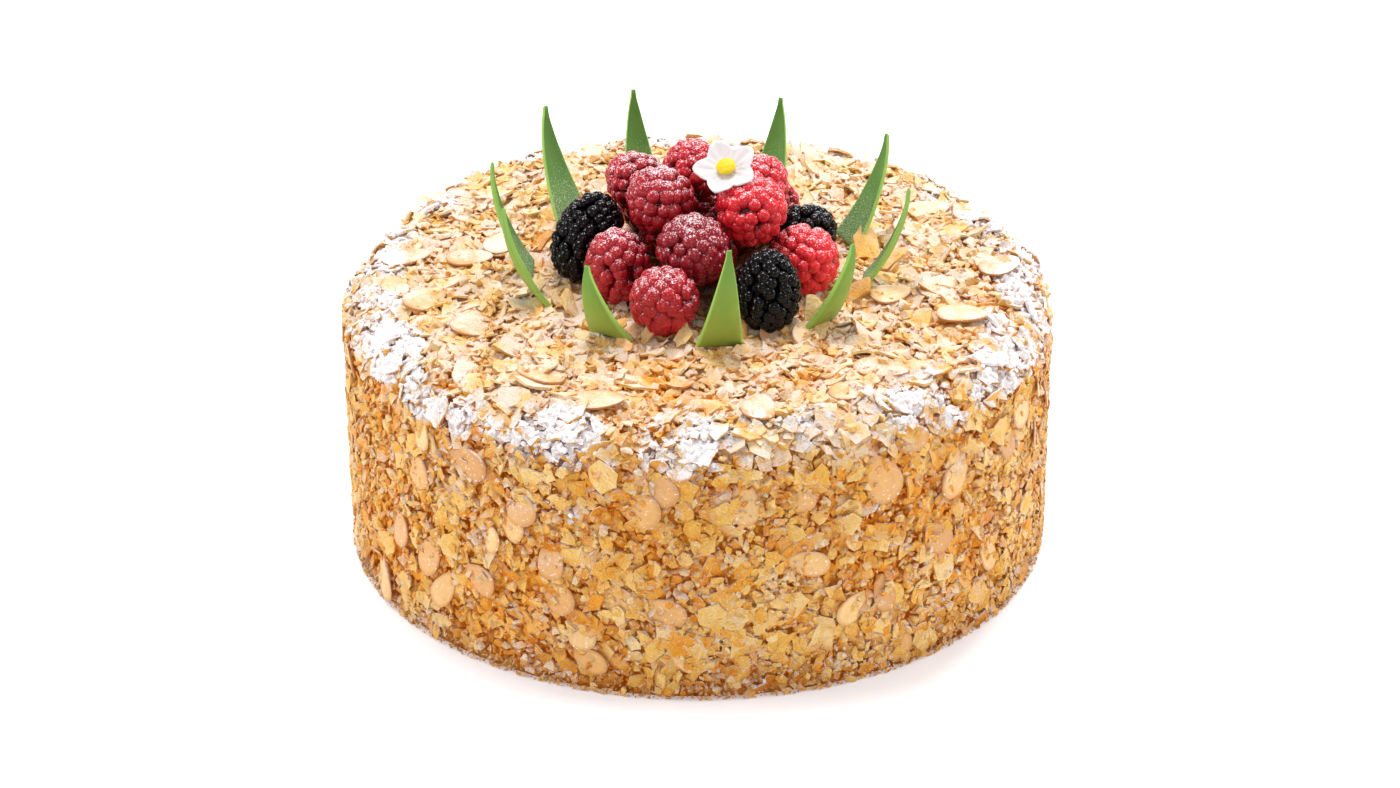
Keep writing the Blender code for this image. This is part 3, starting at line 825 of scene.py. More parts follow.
def powdered(finish, colour, dusting, speck):
    """Lays the fine dust that is on all that faces up, grains of sugar and the rim's icing sugar over a
    colour. Gives the colour and how much of it is icing sugar."""
    grains = finish.noise(0.55 * MM, 2.0, 0.7)
    clouds = finish.noise(9 * MM, 3.0, 0.6).step(0.34, 0.68)
    exposed = finish.attribute("proud").step(-1.2 * MM, 1.3 * MM)
    film = finish.upward.step(-0.05, 0.9) * (0.14 + clouds * 1.25) * (grains - 0.2).at_least(0.0)
    film = film * (2.7 * dusting)
    specks = finish.noise(speck, 1.0).step(0.64, 0.7) * 0.8
    film = film.at_least(specks * (clouds * 0.7 + 0.3)).at_most(0.8) * exposed
    colour = finish.mixed(film, colour, "dust_colour")
    cover = (sugar_cover(finish) + (grains - 0.5) * 0.9).step(0.42, 0.88)
    return finish.mixed(cover, colour, "sugar_colour"), cover


def heap_shade(finish):
    """How much painted shade darkens the pastry under the berry heap."""
    return 1 - finish.from_axis().step(24 * MM, 38 * MM)


def pastry_finish(name, darker=0.0, dusty=1.0):
    """Baked puff pastry: amber where it browned, pale where it is thin, with painted shade in the gaps
    between and painted light on what stands proud.
    """
    settings = bpy.context.scene.napoleon_cake
    finish = Finish(name)
    height = finish.split(finish.place)[2]
    patches = finish.noise(26 * MM, 2.0)
    mottle = finish.noise(2.2 * MM, 3.0)
    grain = finish.noise(0.75 * MM, 4.0, 0.65)
    bake = finish.attribute("tone") * 0.56 + patches * 0.35 + mottle * 0.4 + grain * 0.45 - 0.42 - darker
    # Painted light: pastry that faces up or stands proud is made paler
    level = finish.upward.step(0.3, 0.9)
    bake = bake + finish.attribute("proud").step(-1 * MM, 3 * MM) * 0.22 + level * 0.15
    colour = finish.ramp(
        bake, (0.0, "pastry_brown"), (0.3, "pastry_amber"), (0.62, "pastry_gold"), (1.0, "pastry_pale"))
    pinkish = finish.noise(13 * MM, 1.0).step(0.52, 0.74) * 0.3
    colour = finish.mixed(pinkish, colour, "pastry_pink")
    foot = (1 - height.step(2 * MM, 16 * MM)) * finish.noise(4 * MM, 2.0).step(0.35, 0.65) * 0.55
    colour = finish.mixed(foot, colour, "pastry_foot")
    # Painted shade: orange-brown in the gaps of the coat and on faces turned down, less on level tops
    gap = 1 - finish.attribute("proud").step(-3.0 * MM, -0.5 * MM)
    under = 1 - finish.upward.step(-0.7, 0.15)
    deep = (gap * (0.85 - level * 0.3)).at_least(under * 0.7)
    colour = finish.mixed(deep, colour, "pastry_gap")
    colour, cover = powdered(finish, colour, settings.dusting * dusty, 0.6 * MM)
    # Painted shade under the berry heap: dark brown where the berries shut out the light
    colour = finish.mixed(heap_shade(finish) * 0.8, colour, "juice_colour")
    flaky, _ = finish.plates(2.2 * MM)
    normal = finish.bump(grain * 1.6 + cover * 0.5 + flaky / MM * 0.8, 0.6 * MM, 0.9)
    # Painted glow: an emission that stands in for warm light bounced into the low gaps
    low = 1 - finish.attribute("proud").step(-2.5 * MM, 1.5 * MM)
    glow = finish.mixed(low * (1 - cover) * (1 - level * 0.7), (0.0, 0.0, 0.0, 1.0), "pastry_glow")
    return finish.principled(
        base_color=colour, roughness=0.66 + cover * 0.3, normal=normal, specular_ior_level=0.08,
        emission_color=glow, emission_strength=settings.glow)


def almond_finish():
    """Blanched, toasted almond: waxy, with long fine ridges, a browner rim and grains of sugar."""
    settings = bpy.context.scene.napoleon_cake
    finish = Finish("toasted_almond")
    across = finish.attribute("across")
    mottle = finish.noise(3.5 * MM, 3.0)
    bake = finish.attribute("tone") * 0.8 + mottle * 0.5 - 0.15
    colour = finish.ramp(bake, (0.0, "almond_pale"), (0.5, "almond_gold"), (1.0, "almond_brown"))
    colour = finish.mixed(finish.attribute("rim").step(0.74, 1.0) * 0.5, colour, "almond_rim")
    ridges = (across * 46 + mottle * 5).sine() * 0.5 + 0.5
    colour = finish.mixed(ridges * 0.06, colour, "almond_rim")
    # Painted shade where an almond lies low in the gaps of the coat
    gap = 1 - finish.attribute("proud").step(-2.4 * MM, -0.4 * MM)
    colour = finish.mixed(gap * 0.5, colour, "pastry_gap")
    colour, cover = powdered(finish, colour, settings.dusting * 0.5, 0.85 * MM)
    grain = finish.noise(0.6 * MM, 3.0)
    normal = finish.bump(ridges * 0.25 + grain * 0.4 + cover, 0.22 * MM, 0.6)
    return finish.principled(
        base_color=colour, roughness=0.42 + cover * 0.4, normal=normal, specular_ior_level=0.45)


def icing_finish():
    """Icing sugar: dead matt white, cool in its hollows."""
    finish = Finish("icing_sugar")
    lumps = finish.noise(1.4 * MM, 3.0)
    colour = finish.mixed(lumps.step(0.3, 0.7), "sugar_shade", "sugar_colour")
    normal = finish.bump(finish.noise(0.5 * MM, 3.0, 0.6), 0.2 * MM, 0.5)
    return finish.principled(base_color=colour, roughness=0.95, normal=normal, specular_ior_level=0.2)


# ---------------------------------------------------------------- almonds


def almond_shape(rng):
    """An almond slice one unit long: a blunt-tipped oval plate with a soft rim."""
    rows = ((1.0, 0.7), (0.975, 1.0), (0.8, 1.02), (0.42, 1.0))
    steps = 18
    thick = 0.06
    narrow, point, bend = rng.uniform(0.28, 0.35), rng.uniform(0.18, 0.34), rng.uniform(-0.14, 0.16)
    bm = bmesh.new()
    rim_layer = bm.verts.layers.float.new("rim")
    across_layer = bm.verts.layers.float.new("across")

    def new_ring(share, lift):
        ring = []
        for step in range(steps):
            turn = math.tau * step / steps
            x = 0.5 * share * math.cos(turn)
            y = narrow * share * (1 - point * math.cos(turn)) * math.sin(turn)
            vertex = bm.verts.new((x, y, lift * thick / 2 + bend * (x * x - 0.5 * y * y)))
            vertex[rim_layer] = share
            vertex[across_layer] = y
            ring.append(vertex)
        return ring

    above = [new_ring(share, lift) for share, lift in rows]
    below = [new_ring(share, -lift) for share, lift in rows[1:]]
    rings = [*reversed(below), *above]
    join_rings(bm, rings)
    for ring in (rings[0], rings[-1]):
        close_ring(bm, ring, sum((vertex.co for vertex in ring), Vector()) / steps)
    return smooth_mesh(bm, "almond")


def coat_point(azimuth, height):
    """A point of the smooth side and the way out of it."""
    out = heading(azimuth, 0)
    if height <= RIM_LOW:
        return out * COAT_RADIUS + upright(height), out
    rise = math.asin(min(1.0, (height - RIM_LOW) / RIM_ROUND))
    way = out * math.cos(rise) + upright(math.sin(rise))
    return out * RIM_START + upright(RIM_LOW) + way * RIM_ROUND, way


def almond_spots(rng):
    """Middle, rotation and length of every almond slice."""
    spots = []
    for azimuth, height, length, turn, slant in SIDE_ALMONDS:
        middle, way = coat_point(azimuth, height * MM)
        facing = turned_to(way, math.radians(90 + turn)) @ Euler((0, math.radians(slant), 0)).to_quaternion()
        spots.append((middle + way * 0.5 * MM, facing, length * MM))
    for azimuth, radius, length, turn, slant in TOP_ALMONDS:
        middle = heading(azimuth, 0) * radius * MM + upright(COAT_TOP + 2.4 * MM)
        spin = math.radians(turn)
        facing = Euler((math.radians(slant), 0, spin)).to_quaternion()
        spots.append((middle, facing, length * MM))
    wanted = len(spots) + LOOSE_ALMONDS
    while len(spots) < wanted:
        azimuth = rng.uniform(*LOOSE_AZIMUTHS)
        if rng.random() < SIDE_SHARE:
            middle, way = coat_point(azimuth, rng.uniform(5, 74) * MM)
            slant = rng.triangular(0, 40, 12)
        else:
            radius = math.sqrt(rng.uniform((HEAP_RADIUS + 18 * MM) ** 2, RIM_START ** 2))
            middle, way = heading(azimuth, 0) * radius + upright(COAT_TOP), upright(1)
            slant = rng.triangular(0, 22, 4)
        if any((middle - other).length < ALMOND_ROOM for other, _, _ in spots):
            continue
        tilt = Euler((0, math.radians(slant), 0)).to_quaternion()
        facing = turned_to(way, rng.uniform(0, math.tau)) @ tilt
        spots.append((middle + way * rng.uniform(-0.2, 0.7) * MM, facing, rng.uniform(11, 16) * MM))
    return spots


def chip_spots(rng):
    """Middle, rotation and length of the flakes at the foot of the heap and of the leaves."""
    spots = []
    for azimuth, radius, length, turn, slant in CHIPS:
        middle = heading(azimuth, 0) * radius * MM + upright(COAT_TOP + 4.0 * MM)
        facing = Euler((math.radians(slant) * 0.4, -math.radians(slant), math.radians(turn)))
        spots.append((middle, facing.to_quaternion(), length * MM))
    for _, ring_angle, width, *_ in LEAVES:
        spread = math.degrees(width / 2 * MM / LEAF_RING)
        for number in range(LEAF_CHIPS):
            azimuth = ring_angle + spread * (2 * (number + rng.uniform(0.1, 0.9)) / LEAF_CHIPS - 1)
            radius = LEAF_RING + rng.uniform(2.6, 5.0) * MM
            middle = heading(azimuth, 0) * radius + upright(COAT_TOP + rng.uniform(0.8, 1.8) * MM)
            facing = Euler((math.radians(rng.uniform(5, 35)), math.radians(rng.uniform(-15, 15)),
                            math.radians(azimuth + 90 + rng.uniform(-40, 40))))
            spots.append((middle, facing.to_quaternion(), rng.uniform(5, 10) * MM))
    return spots


def set_growth():
    """Sets one of a collection's shapes on every spot."""
    growth = Growth("Set shapes", {"Shapes": "Collection", "Seed": "Int", "Material": "Material"})
    facing = growth.named("facing", "FLOAT_VECTOR")
    length = growth.named("length", "FLOAT")
    facing = growth.node("FunctionNodeEulerToRotation", None, {0: facing})
    strewn = growth.node("GeometryNodeInstanceOnPoints", None, {
        "Points": growth.group.also("Geometry"), "Instance": growth.shapes(), "Pick Instance": True,
        "Rotation": facing, "Scale": growth.joined(length, length, length)})
    end_coat(growth, growth.stored(strewn, "tone", growth.random(0.0, 1.0, 1), "INSTANCE"))
    return growth


def spots_mesh(spots):
    """Bare points that carry the shapes' rotations and lengths."""
    mesh = bpy.data.meshes.new("spots")
    mesh.from_pydata([middle for middle, _, _ in spots], [], [])
    mesh.attributes.new("facing", "FLOAT_VECTOR", "POINT")
    mesh.attributes.new("length", "FLOAT", "POINT")
    for number, (_, facing, reach) in enumerate(spots):
        mesh.attributes["facing"].data[number].vector = facing.to_euler()
        mesh.attributes["length"].data[number].value = reach
    return mesh


# ---------------------------------------------------------------- icing sugar


def icing_growth():
    """Heaps fine lumps of icing sugar on what faces up along the rim."""
    growth = Growth("Icing sugar", {
        "Density": "Float", "Lump": "Float", "Cell": "Float", "Seed": "Int", "Material": "Material"})
    heaped = sugar_cover(growth).step(0.8, 1.15)
    points = growth.node("GeometryNodeDistributePointsOnFaces", {"distribute_method": "RANDOM"}, {
        "Mesh": growth.group.also("Geometry"), "Density": growth.value("Density") * heaped,
        "Seed": growth.value("Seed")})
    radius = growth.value("Lump") * growth.random(0.6, 1.2, 1)
    lifted = growth.moved(points, growth.scaled(points.also("Normal"), radius * 0.15))
    cloud = growth.node("GeometryNodePointsToVolume", {"resolution_mode": "VOXEL_SIZE"}, {
        "Points": lifted, "Density": 1.0, "Voxel Size": growth.value("Cell"), "Radius": radius})
    skin = growth.node("GeometryNodeVolumeToMesh", {"resolution_mode": "GRID"}, {
        "Volume": cloud, "Threshold": 0.1, "Adaptivity": 0.0})
    grain = growth.noise(1.1 * MM, 1.0)
    normal = growth.node("GeometryNodeInputNormal")
    skin = growth.moved(skin, growth.scaled(normal, (grain - 0.5) * 0.3 * MM))
    growth.finished(pressed(growth, growth.smoothed(skin)))
    return growth


# ---------------------------------------------------------------- berries


def berry_growth():
    """A berry with its tip up: round beads packed by the golden angle on an egg, and fine hairs."""
    growth = Growth("Berry", {
        "Beads": "Int", "Half width": "Float", "Half length": "Float", "Taper": "Float",
        "Bead": "Float", "Hairs": "Float", "Seed": "Int", "Material": "Material", "Hair": "Material"})
    bead, taper = growth.value("Bead"), growth.value("Taper")
    wide, tall = growth.value("Half width"), growth.value("Half length")
    points = growth.node("GeometryNodePoints", None, {"Count": growth.value("Beads")})
    index = growth.node("GeometryNodeInputIndex")
    rise = 1 - (index + 0.5) * 2 / growth.value("Beads")
    ring = (1 - rise * rise) ** 0.5 * (1 - taper * rise)
    turn = index * GOLDEN_ANGLE + growth.random(-0.2, 0.2, 1)
    size = bead * growth.random(0.82, 1.18, 2)
    wide_in, tall_in = wide - size * 0.97, tall - size * 0.97
    place = growth.joined(ring * turn.cosine() * wide_in, ring * turn.sine() * wide_in, rise * tall_in)
    points = growth.moved(points, position=place)
    points = growth.node("GeometryNodeSetPointRadius", None, {"Points": points, "Radius": size})
    ball = growth.node("GeometryNodeMeshUVSphere", None, {"Segments": 12, "Rings": 8, "Radius": 1.0})
    beads = growth.node("GeometryNodeInstanceOnPoints", None, {
        "Points": points, "Instance": growth.smoothed(ball), "Scale": growth.joined(size, size, size)})
    beads = growth.stored(beads, "tone", growth.random(0.0, 1.0, 3), "INSTANCE")

    body = growth.node("GeometryNodeMeshUVSphere", None, {"Segments": 24, "Rings": 14, "Radius": 1.0})
    x, y, height = growth.split(growth.place)
    slim = 1 - taper * height
    inner_wide, inner_tall = wide - bead * 1.12, tall - bead * 1.12
    body = growth.moved(body, position=growth.joined(
        x * slim * inner_wide, y * slim * inner_wide, height * inner_tall))
    flesh = growth.realized(growth.both(beads, growth.smoothed(body)))
    proud = ((x * x + y * y) / (wide * wide) + height * height / (tall * tall)) ** 0.5
    flesh = growth.coloured(growth.stored(flesh, "proud", proud))

    outward = growth.vector("NORMALIZE", growth.place)
    facing = growth.node("FunctionNodeAlignRotationToVector", {"axis": "Z"}, {"Vector": outward})
    lean = growth.joined(growth.random(-1.1, 1.1, 4), growth.random(-1.1, 1.1, 5), 0.0)
    lean = growth.node("FunctionNodeEulerToRotation", None, {0: lean})
    facing = growth.node("FunctionNodeRotateRotation", {"rotation_space": "LOCAL"}, {0: facing, 1: lean})
    hair = growth.node("GeometryNodeMeshCone", None, {
        "Vertices": 4, "Radius Top": 0.012 * MM, "Radius Bottom": 0.05 * MM, "Depth": 2.6 * MM})
    rooted = growth.moved(points, growth.scaled(outward, bead * 0.75))
    hairs = growth.node("GeometryNodeInstanceOnPoints", None, {
        "Points": rooted, "Selection": growth.random(0.0, 1.0, 6) < growth.value("Hairs"),
        "Instance": hair, "Rotation": facing})
    growth.ended(growth.both(flesh, growth.coloured(growth.realized(hairs), "Hair")))
    return growth


def frost(finish, dust):
    """Icing sugar sifted over berries: fine grains on the crown of each bead, most on the upper beads."""
    amount = dust * bpy.context.scene.napoleon_cake.frosting
    grains = finish.noise(0.5 * MM, 2.0, 0.7)
    clouds = finish.noise(4 * MM, 2.0)
    lies = finish.upward.step(0.1, 0.95) * (0.75 + finish.attribute("high") * 0.3) * (0.3 + clouds * 1.2)
    return ((grains - 0.5) * 3.3 + lies * amount).step(0.62, 1.0) * 0.95


def shaded(finish, colour):
    """Darkens the skin that faces into the heap, where little light comes."""
    away = finish.vector("NORMALIZE", finish.vector("SUBTRACT", finish.place, HEAP_MIDDLE))
    facing = finish.vector("DOT_PRODUCT", finish.normal, away, output="Value")
    return finish.mixed((1 - facing.step(-0.6, 0.35)) * 0.8, colour, "berry_shade")


def raspberry_finish(name, dust, darkness):
    """Crimson flesh that light goes into, with a wet gloss and painted shade in the creases between the
    beads.
    """
    finish = Finish(name)
    flesh = finish.mixed(darkness, "raspberry_bright", "raspberry_dark")
    deeper = finish.attribute("tone") * 0.4 + finish.noise(5 * MM, 1.0) * 0.35
    deeper = deeper * (0.35 + 0.65 * darkness)
    colour = finish.mixed(deeper, flesh, "raspberry_deep")
    # Painted shade in the creases between the beads
    crease = 1 - finish.attribute("proud").step(0.76, 0.93)
    colour = shaded(finish, finish.mixed(crease * 0.85, colour, "raspberry_crease"))
    cover = frost(finish, dust)
    colour = finish.mixed(cover, colour, "frost_colour")
    normal = finish.bump(cover + finish.noise(0.9 * MM, 2.0) * 0.4, 0.16 * MM, 0.5)
    return finish.principled(
        base_color=colour, roughness=0.16 + cover * 0.6, normal=normal, subsurface_weight=0.2,
        subsurface_radius=(1.0, 0.22, 0.16), subsurface_scale=1.4 * MM, specular_ior_level=0.36,
        coat_weight=0.12, coat_roughness=0.05)


def bramble_finish(name, dust):
    """Nearly black beads with a purple depth and a wet gloss."""
    finish = Finish(name)
    colour = finish.mixed(finish.attribute("tone") * 0.6, "bramble_black", "bramble_purple")
    cover = frost(finish, dust) * 0.4
    colour = finish.mixed(cover, colour, "frost_colour")
    normal = finish.bump(finish.noise(1.1 * MM, 2.0) + cover, 0.1 * MM, 0.4)
    return finish.principled(
        base_color=colour, roughness=0.09 + cover * 0.5, normal=normal, specular_ior_level=0.22)


def note_height(mesh):
    """Notes on each point of a berry how high it is, from -1 to 1."""
    heights = [vertex.co.z for vertex in mesh.vertices]
    low, high = min(heights), max(heights)
    noted_height = mesh.attributes.new("high", "FLOAT", "POINT")
    noted_height.data.foreach_set("value", [2 * (height - low) / (high - low) - 1 for height in heights])


def hair_finish():
    """The brown hairs between a berry's beads."""
    finish = Finish("berry_hair")
    colour = finish.mixed(finish.noise(6 * MM), "hair_brown", "hair_pale")
    return finish.principled(base_color=colour, roughness=0.5)


# ---------------------------------------------------------------- leaves


def leaf_mesh(ring_angle, width, out_mm, up_mm, side, bend_degrees):
    """A cupped strip of sugar paste on its arc, with soft edges. Vertex attributes say how far up
    and how far across each point is, and which face it is on."""
    bend = math.radians(bend_degrees)
    chord, rise = math.hypot(out_mm, up_mm) * MM, math.atan2(up_mm, out_mm)
    foot_slope, radius = rise - bend / 2, chord / (2 * math.sin(bend / 2))
    rows, half_thick = 18, LEAF_THICK / 2
    bm = bmesh.new()
    up_layer = bm.verts.layers.float.new("up_share")
    edge_layer = bm.verts.layers.float.new("edge_share")
    face_layer = bm.verts.layers.float.new("inner_face")
    rings = []
    for row in range(rows + 1):
        share = row / rows
        slope = foot_slope + bend * share
        middle = Vector((radius * (math.sin(slope) - math.sin(foot_slope)), side * MM * share,
                         radius * (math.cos(foot_slope) - math.cos(slope))))
        outward = Vector((math.sin(slope), 0, -math.cos(slope)))
        half = width / 2 * MM * max(0.1, (1 - share) ** 0.78)
        cup = 0.9 * MM * math.sin(math.pi * min(1, share * 1.15))
        thick = half_thick * (1 - 0.35 * share)
        ring = []
        for face in (1, -1):
            for edge, fullness in LEAF_EDGES:
                spot = middle + Vector((0, half * edge * face, 0))
                spot += outward * (face * thick * fullness) - Vector((cup * edge * edge, 0, 0))
                vertex = bm.verts.new(spot)
                vertex[up_layer] = share
                vertex[edge_layer] = abs(edge)
                vertex[face_layer] = 0.5 - 0.5 * face
                ring.append(vertex)
        rings.append(ring)
    join_rings(bm, rings)
    for ring in (rings[0], rings[-1]):
        for column in range(len(LEAF_EDGES) - 1):
            bm.faces.new((ring[column], ring[column + 1], ring[-2 - column], ring[-1 - column]))
    foot = CLEARANCE + half_thick * math.cos(foot_slope)
    turn = Matrix.Rotation(math.radians(ring_angle), 4, "Z")
    place = Matrix.Translation(turn @ Vector((LEAF_RING, 0, CAKE_TOP + foot)))
    bmesh.ops.transform(bm, matrix=place @ turn, verts=bm.verts[:])
    return smooth_mesh(bm, "leaf")


def soften(modifiers):
    """One level of subdivision."""
    smooth = modifiers.new("Soften", "SUBSURF")
    smooth.levels = smooth.render_levels = 1


def leaf_finish():
    """Green sugar paste: matt, paler at its cut edges, dusted on its inner face and at its foot."""
    finish = Finish("green_sugar_paste")
    up_share, edge_share, inner = map(finish.attribute, ("up_share", "edge_share", "inner_face"))
    clouds = finish.noise(7 * MM, 2.0)
    outer_colour = finish.mixed(up_share.step(0.2, 1.0), "leaf_light", "leaf_mid")
    colour = finish.mixed(inner.step(0.3, 0.7), outer_colour, "leaf_deep")
    colour = finish.mixed(clouds.step(0.35, 0.7) * 0.3, colour, "leaf_mid")
    colour = finish.mixed(edge_share.step(0.93, 0.99) * 0.85, colour, "leaf_edge")
    grains = finish.noise(0.4 * MM, 1.0)
    low = 1 - up_share.step(0.1, 0.85)
    dust = ((grains - 0.5) * 1.6 + inner * (0.15 + low * 0.3) + low * 0.05).step(0.42, 0.9) * 0.55
    colour = finish.mixed(dust, colour, "frost_colour")
    normal = finish.bump(grains * 0.6 + clouds, 0.18 * MM, 0.6)
    return finish.principled(
        base_color=colour, roughness=0.55 + dust * 0.3, normal=normal, subsurface_weight=0.12,
        subsurface_radius=(1.0, 1.0, 0.4), subsurface_scale=1.0 * MM, specular_ior_level=0.35)


# ---------------------------------------------------------------- flower


def petal_mesh():
    """Five cupped petals in one sheet, with a thickness and faint creases towards their tips."""
    rng = random.Random(PETAL_SEED)
    steps, rings = 80, 10
    lean = [rng.uniform(-0.5, 0.6) * MM for _ in range(PETALS)]
    bm = bmesh.new()
    sheets = []
    for face in (1, -1):
        middle = bm.verts.new((0, 0, face * FLOWER_THICK / 2))
        sheet = []
        for ring in range(1, rings + 1):
            points = []
            for step in range(steps):
                turn = math.tau * step / steps
                petal = round(turn / math.tau * PETALS)
                aside = turn * PETALS / math.tau - petal
                point = 1.04 - math.hypot(2 * aside, 0.08)
                reach = (FLOWER_NOTCH + (1 - FLOWER_NOTCH) * max(0.0, point)) * ring / rings
                radius = FLOWER_RADIUS * reach
                lift = FLOWER_CUP * reach**2 + lean[petal % PETALS] * reach**3 * (1 - 2 * abs(aside))
                lift += 0.9 * MM * (2 * aside) ** 2 * reach**2 - 0.22 * MM * math.cos(16 * aside) * reach
                thin = 1 - 0.45 * (ring / rings) ** 3
                lift += face * thin * FLOWER_THICK / 2
                points.append(bm.verts.new((radius * math.cos(turn), radius * math.sin(turn), lift)))
            sheet.append(points)
        for step in range(steps):
            after = (step + 1) % steps
            bm.faces.new((middle, sheet[0][step], sheet[0][after]))
            for inner, outer in zip(sheet, sheet[1:]):
                bm.faces.new((inner[step], outer[step], outer[after], inner[after]))
        sheets.append(sheet)
    top, bottom = sheets[0][-1], sheets[1][-1]
    for step in range(steps):
        after = (step + 1) % steps
        bm.faces.new((top[step], bottom[step], bottom[after], top[after]))
    return smooth_mesh(bm, "petals")


def eye_mesh():
    """The flower's eye: a low dome of piped icing with a pebbled skin."""
    bm = bmesh.new()
    bmesh.ops.create_uvsphere(bm, u_segments=36, v_segments=20, radius=EYE_RADIUS)
    rng = random.Random(EYE_SEED)
    pebbles = [heading(rng.uniform(0, 360), rng.uniform(0, 90)) for _ in range(26)]
    for vertex in bm.verts:
        way = vertex.co.normalized()
        nearest = min((way - pebble).length for pebble in pebbles)
        vertex.co *= 1 - 0.07 * min(1.0, nearest / 0.35)
        vertex.co.z *= EYE_HEIGHT / 2 / EYE_RADIUS
    return smooth_mesh(bm, "eye")


def flower_place(lift):
    """Where the flower sits, moved this far out along the way that it faces."""
    facing = heading(*FLOWER_FACES)
    turn = turned_to(facing, math.radians(FLOWER_SPIN)).to_matrix().to_4x4()
    return Matrix.Translation(FLOWER_CENTRE + facing * lift) @ turn


def petal_finish():
    """White sugar paste that light goes into."""
    finish = Finish("white_sugar_paste")
    clouds = finish.noise(3 * MM, 2.0)
    colour = finish.mixed(clouds * 0.5, "petal_colour", "petal_shade")
    normal = finish.bump(finish.noise(1.6 * MM, 3.0), 0.2 * MM, 0.5)
    return finish.principled(
        base_color=colour, roughness=0.42, normal=normal, subsurface_weight=0.4,
        subsurface_radius=(1.0, 0.9, 0.85), subsurface_scale=1.2 * MM, specular_ior_level=0.4)


def eye_finish():
    """Grainy yellow icing."""
    finish = Finish("yellow_icing")
    grains = finish.noise(0.7 * MM, 3.0)
    colour = finish.mixed(grains.step(0.35, 0.75) * 0.5, "eye_colour", "eye_light")
    normal = finish.bump(grains, 0.25 * MM, 0.7)
    return finish.principled(base_color=colour, roughness=0.5, normal=normal, specular_ior_level=0.35)


# ---------------------------------------------------------------- settings


# Bits of pastry on the coat, in millimetres: how far apart at least, and how wide
PASTRY_MEASURES = ("spacing", "smallest", "largest")
PASTRY_SIZES = (
    ("flake", 4.0, 5, 14),
    ("scrap", 2.6, 2.8, 8),
    ("sliver", 2.35, 2.0, 7),
    ("chunk", 3.0, 2.0, 5.4),
    ("crumb", 2.0, 0.9, 3.2),
    ("loose_crumb", 1.0, 0.8, 2.4),
)

# Colours: key, what it is for, web code
COLOURS = (
    ("pastry_brown", "Darkest baked pastry", "b25c10"),
    ("pastry_amber", "Well baked pastry", "f09c2a"),
    ("pastry_gold", "Most of the pastry", "f6c05a"),
    ("pastry_pale", "Thin, lightly baked pastry", "fcdb9a"),
    ("pastry_pink", "Pastry with melted sugar", "f2c084"),
    ("pastry_foot", "Brown crumbs at the foot", "ae6c26"),
    # Painted shade in the gaps of the coat
    ("pastry_gap", "Pastry deep in the gaps of the coat", "c0660c"),
    # Painted shade for the pastry under the berry heap
    ("juice_colour", "Pastry soaked with berry juice", "3c140a"),
    # Colour of the painted glow, an emission that stands in for bounced light
    ("pastry_glow", "Light that the pastry throws into its gaps", "ff7410"),
    ("almond_pale", "Least toasted almond", "eec884"),
    ("almond_gold", "Toasted almond", "dfa65c"),
    ("almond_brown", "Most toasted almond", "c98c4c"),
    ("almond_rim", "Rim and ridges of the almonds", "b26e34"),
    ("dust_colour", "Fine sugar over pastry", "f6e6dc"),
    ("sugar_colour", "Icing sugar", "f8f3f3"),
    ("sugar_shade", "Icing sugar in its hollows", "eee5e4"),
    ("frost_colour", "Icing sugar on berries and leaves", "f3e6ec"),
    ("raspberry_bright", "Ripe red flesh", "f02630"),
    # Darker flesh, mixed in by each berry's darkness; on the inner berries it is partly painted shade
    ("raspberry_dark", "Overripe flesh", "760c1e"),
    ("raspberry_deep", "Deeper red of the flesh", "7a081a"),
    ("berry_shade", "Berry skin that faces into the heap", "1c0206"),
    # Painted shade between the beads
    ("raspberry_crease", "Between the beads", "5a0412"),
    ("bramble_black", "Bramble beads", "060406"),
    ("bramble_purple", "Thin skin of the bramble beads", "10060c"),
    ("leaf_light", "Outer face low down", "92ae48"),
    ("leaf_mid", "Outer face near the tip", "6c983c"),
    ("leaf_deep", "Inner face", "568a3a"),
    ("leaf_edge", "Cut edge", "9ecb60"),
    ("petal_colour", "Petals", "dcd5d6"),
    ("petal_shade", "Petal clouds", "d0c8ca"),
    ("eye_colour", "Flower's eye", "dcbe00"),
    ("eye_light", "Lighter grains of the eye", "eed638"),
    ("hair_brown", "Berry hairs", "8a3a2a"),
    ("hair_pale", "Paler berry hairs", "c98f5e"),
)


def length(name, description, default):
    return bpy.props.FloatProperty(
        name=name, description=description, default=default, min=0.0, subtype="DISTANCE", unit="LENGTH")


def share(name, description, default):
    return bpy.props.FloatProperty(
        name=name, description=description, default=default, min=0.0, max=2.0, subtype="FACTOR")


def colour(name, description, code):
    return bpy.props.FloatVectorProperty(
        name=name, description=description, default=srgb(code), size=4, min=0.0, max=1.0, subtype="COLOR")


class CakeSettings(bpy.types.PropertyGroup):
    """Sizes and colours of the cake's coat and of what stands on it."""

    relief: length("Relief", "Depth of the crumb coat's crags", 4.8 * MM)
    crag: length("Crag size", "Distance from crag to crag", 7 * MM)
    for kind, *sizes in PASTRY_SIZES:
        for measure, size in zip(PASTRY_MEASURES, sizes):
            __annotations__[f"{kind}_{measure}"] = length(
                titled(f"{kind}_{measure}"), f"{titled(measure)} of the {titled(kind).lower()}s", size * MM)
    raspberry_bead: length("Raspberry bead", "Radius of a raspberry's beads", 2.6 * MM)
    bramble_bead: length("Bramble bead", "Radius of a bramble's beads", 2.05 * MM)
    lump: length("Sugar lump", "Radius of the icing sugar's lumps", 0.75 * MM)
    dusting: share("Dusting", "Fine sugar dust on all that faces up", 1.2)
    # Strength of the painted glow, an emission that stands in for bounced light
    glow: share("Glow", "Warm light that the pastry throws into its gaps", 0.1)
    frosting: share("Frosting", "Sugar dust on the berries", 0.9)
    for key, description, code in COLOURS:
        __annotations__[key] = colour(titled(key), description, code)


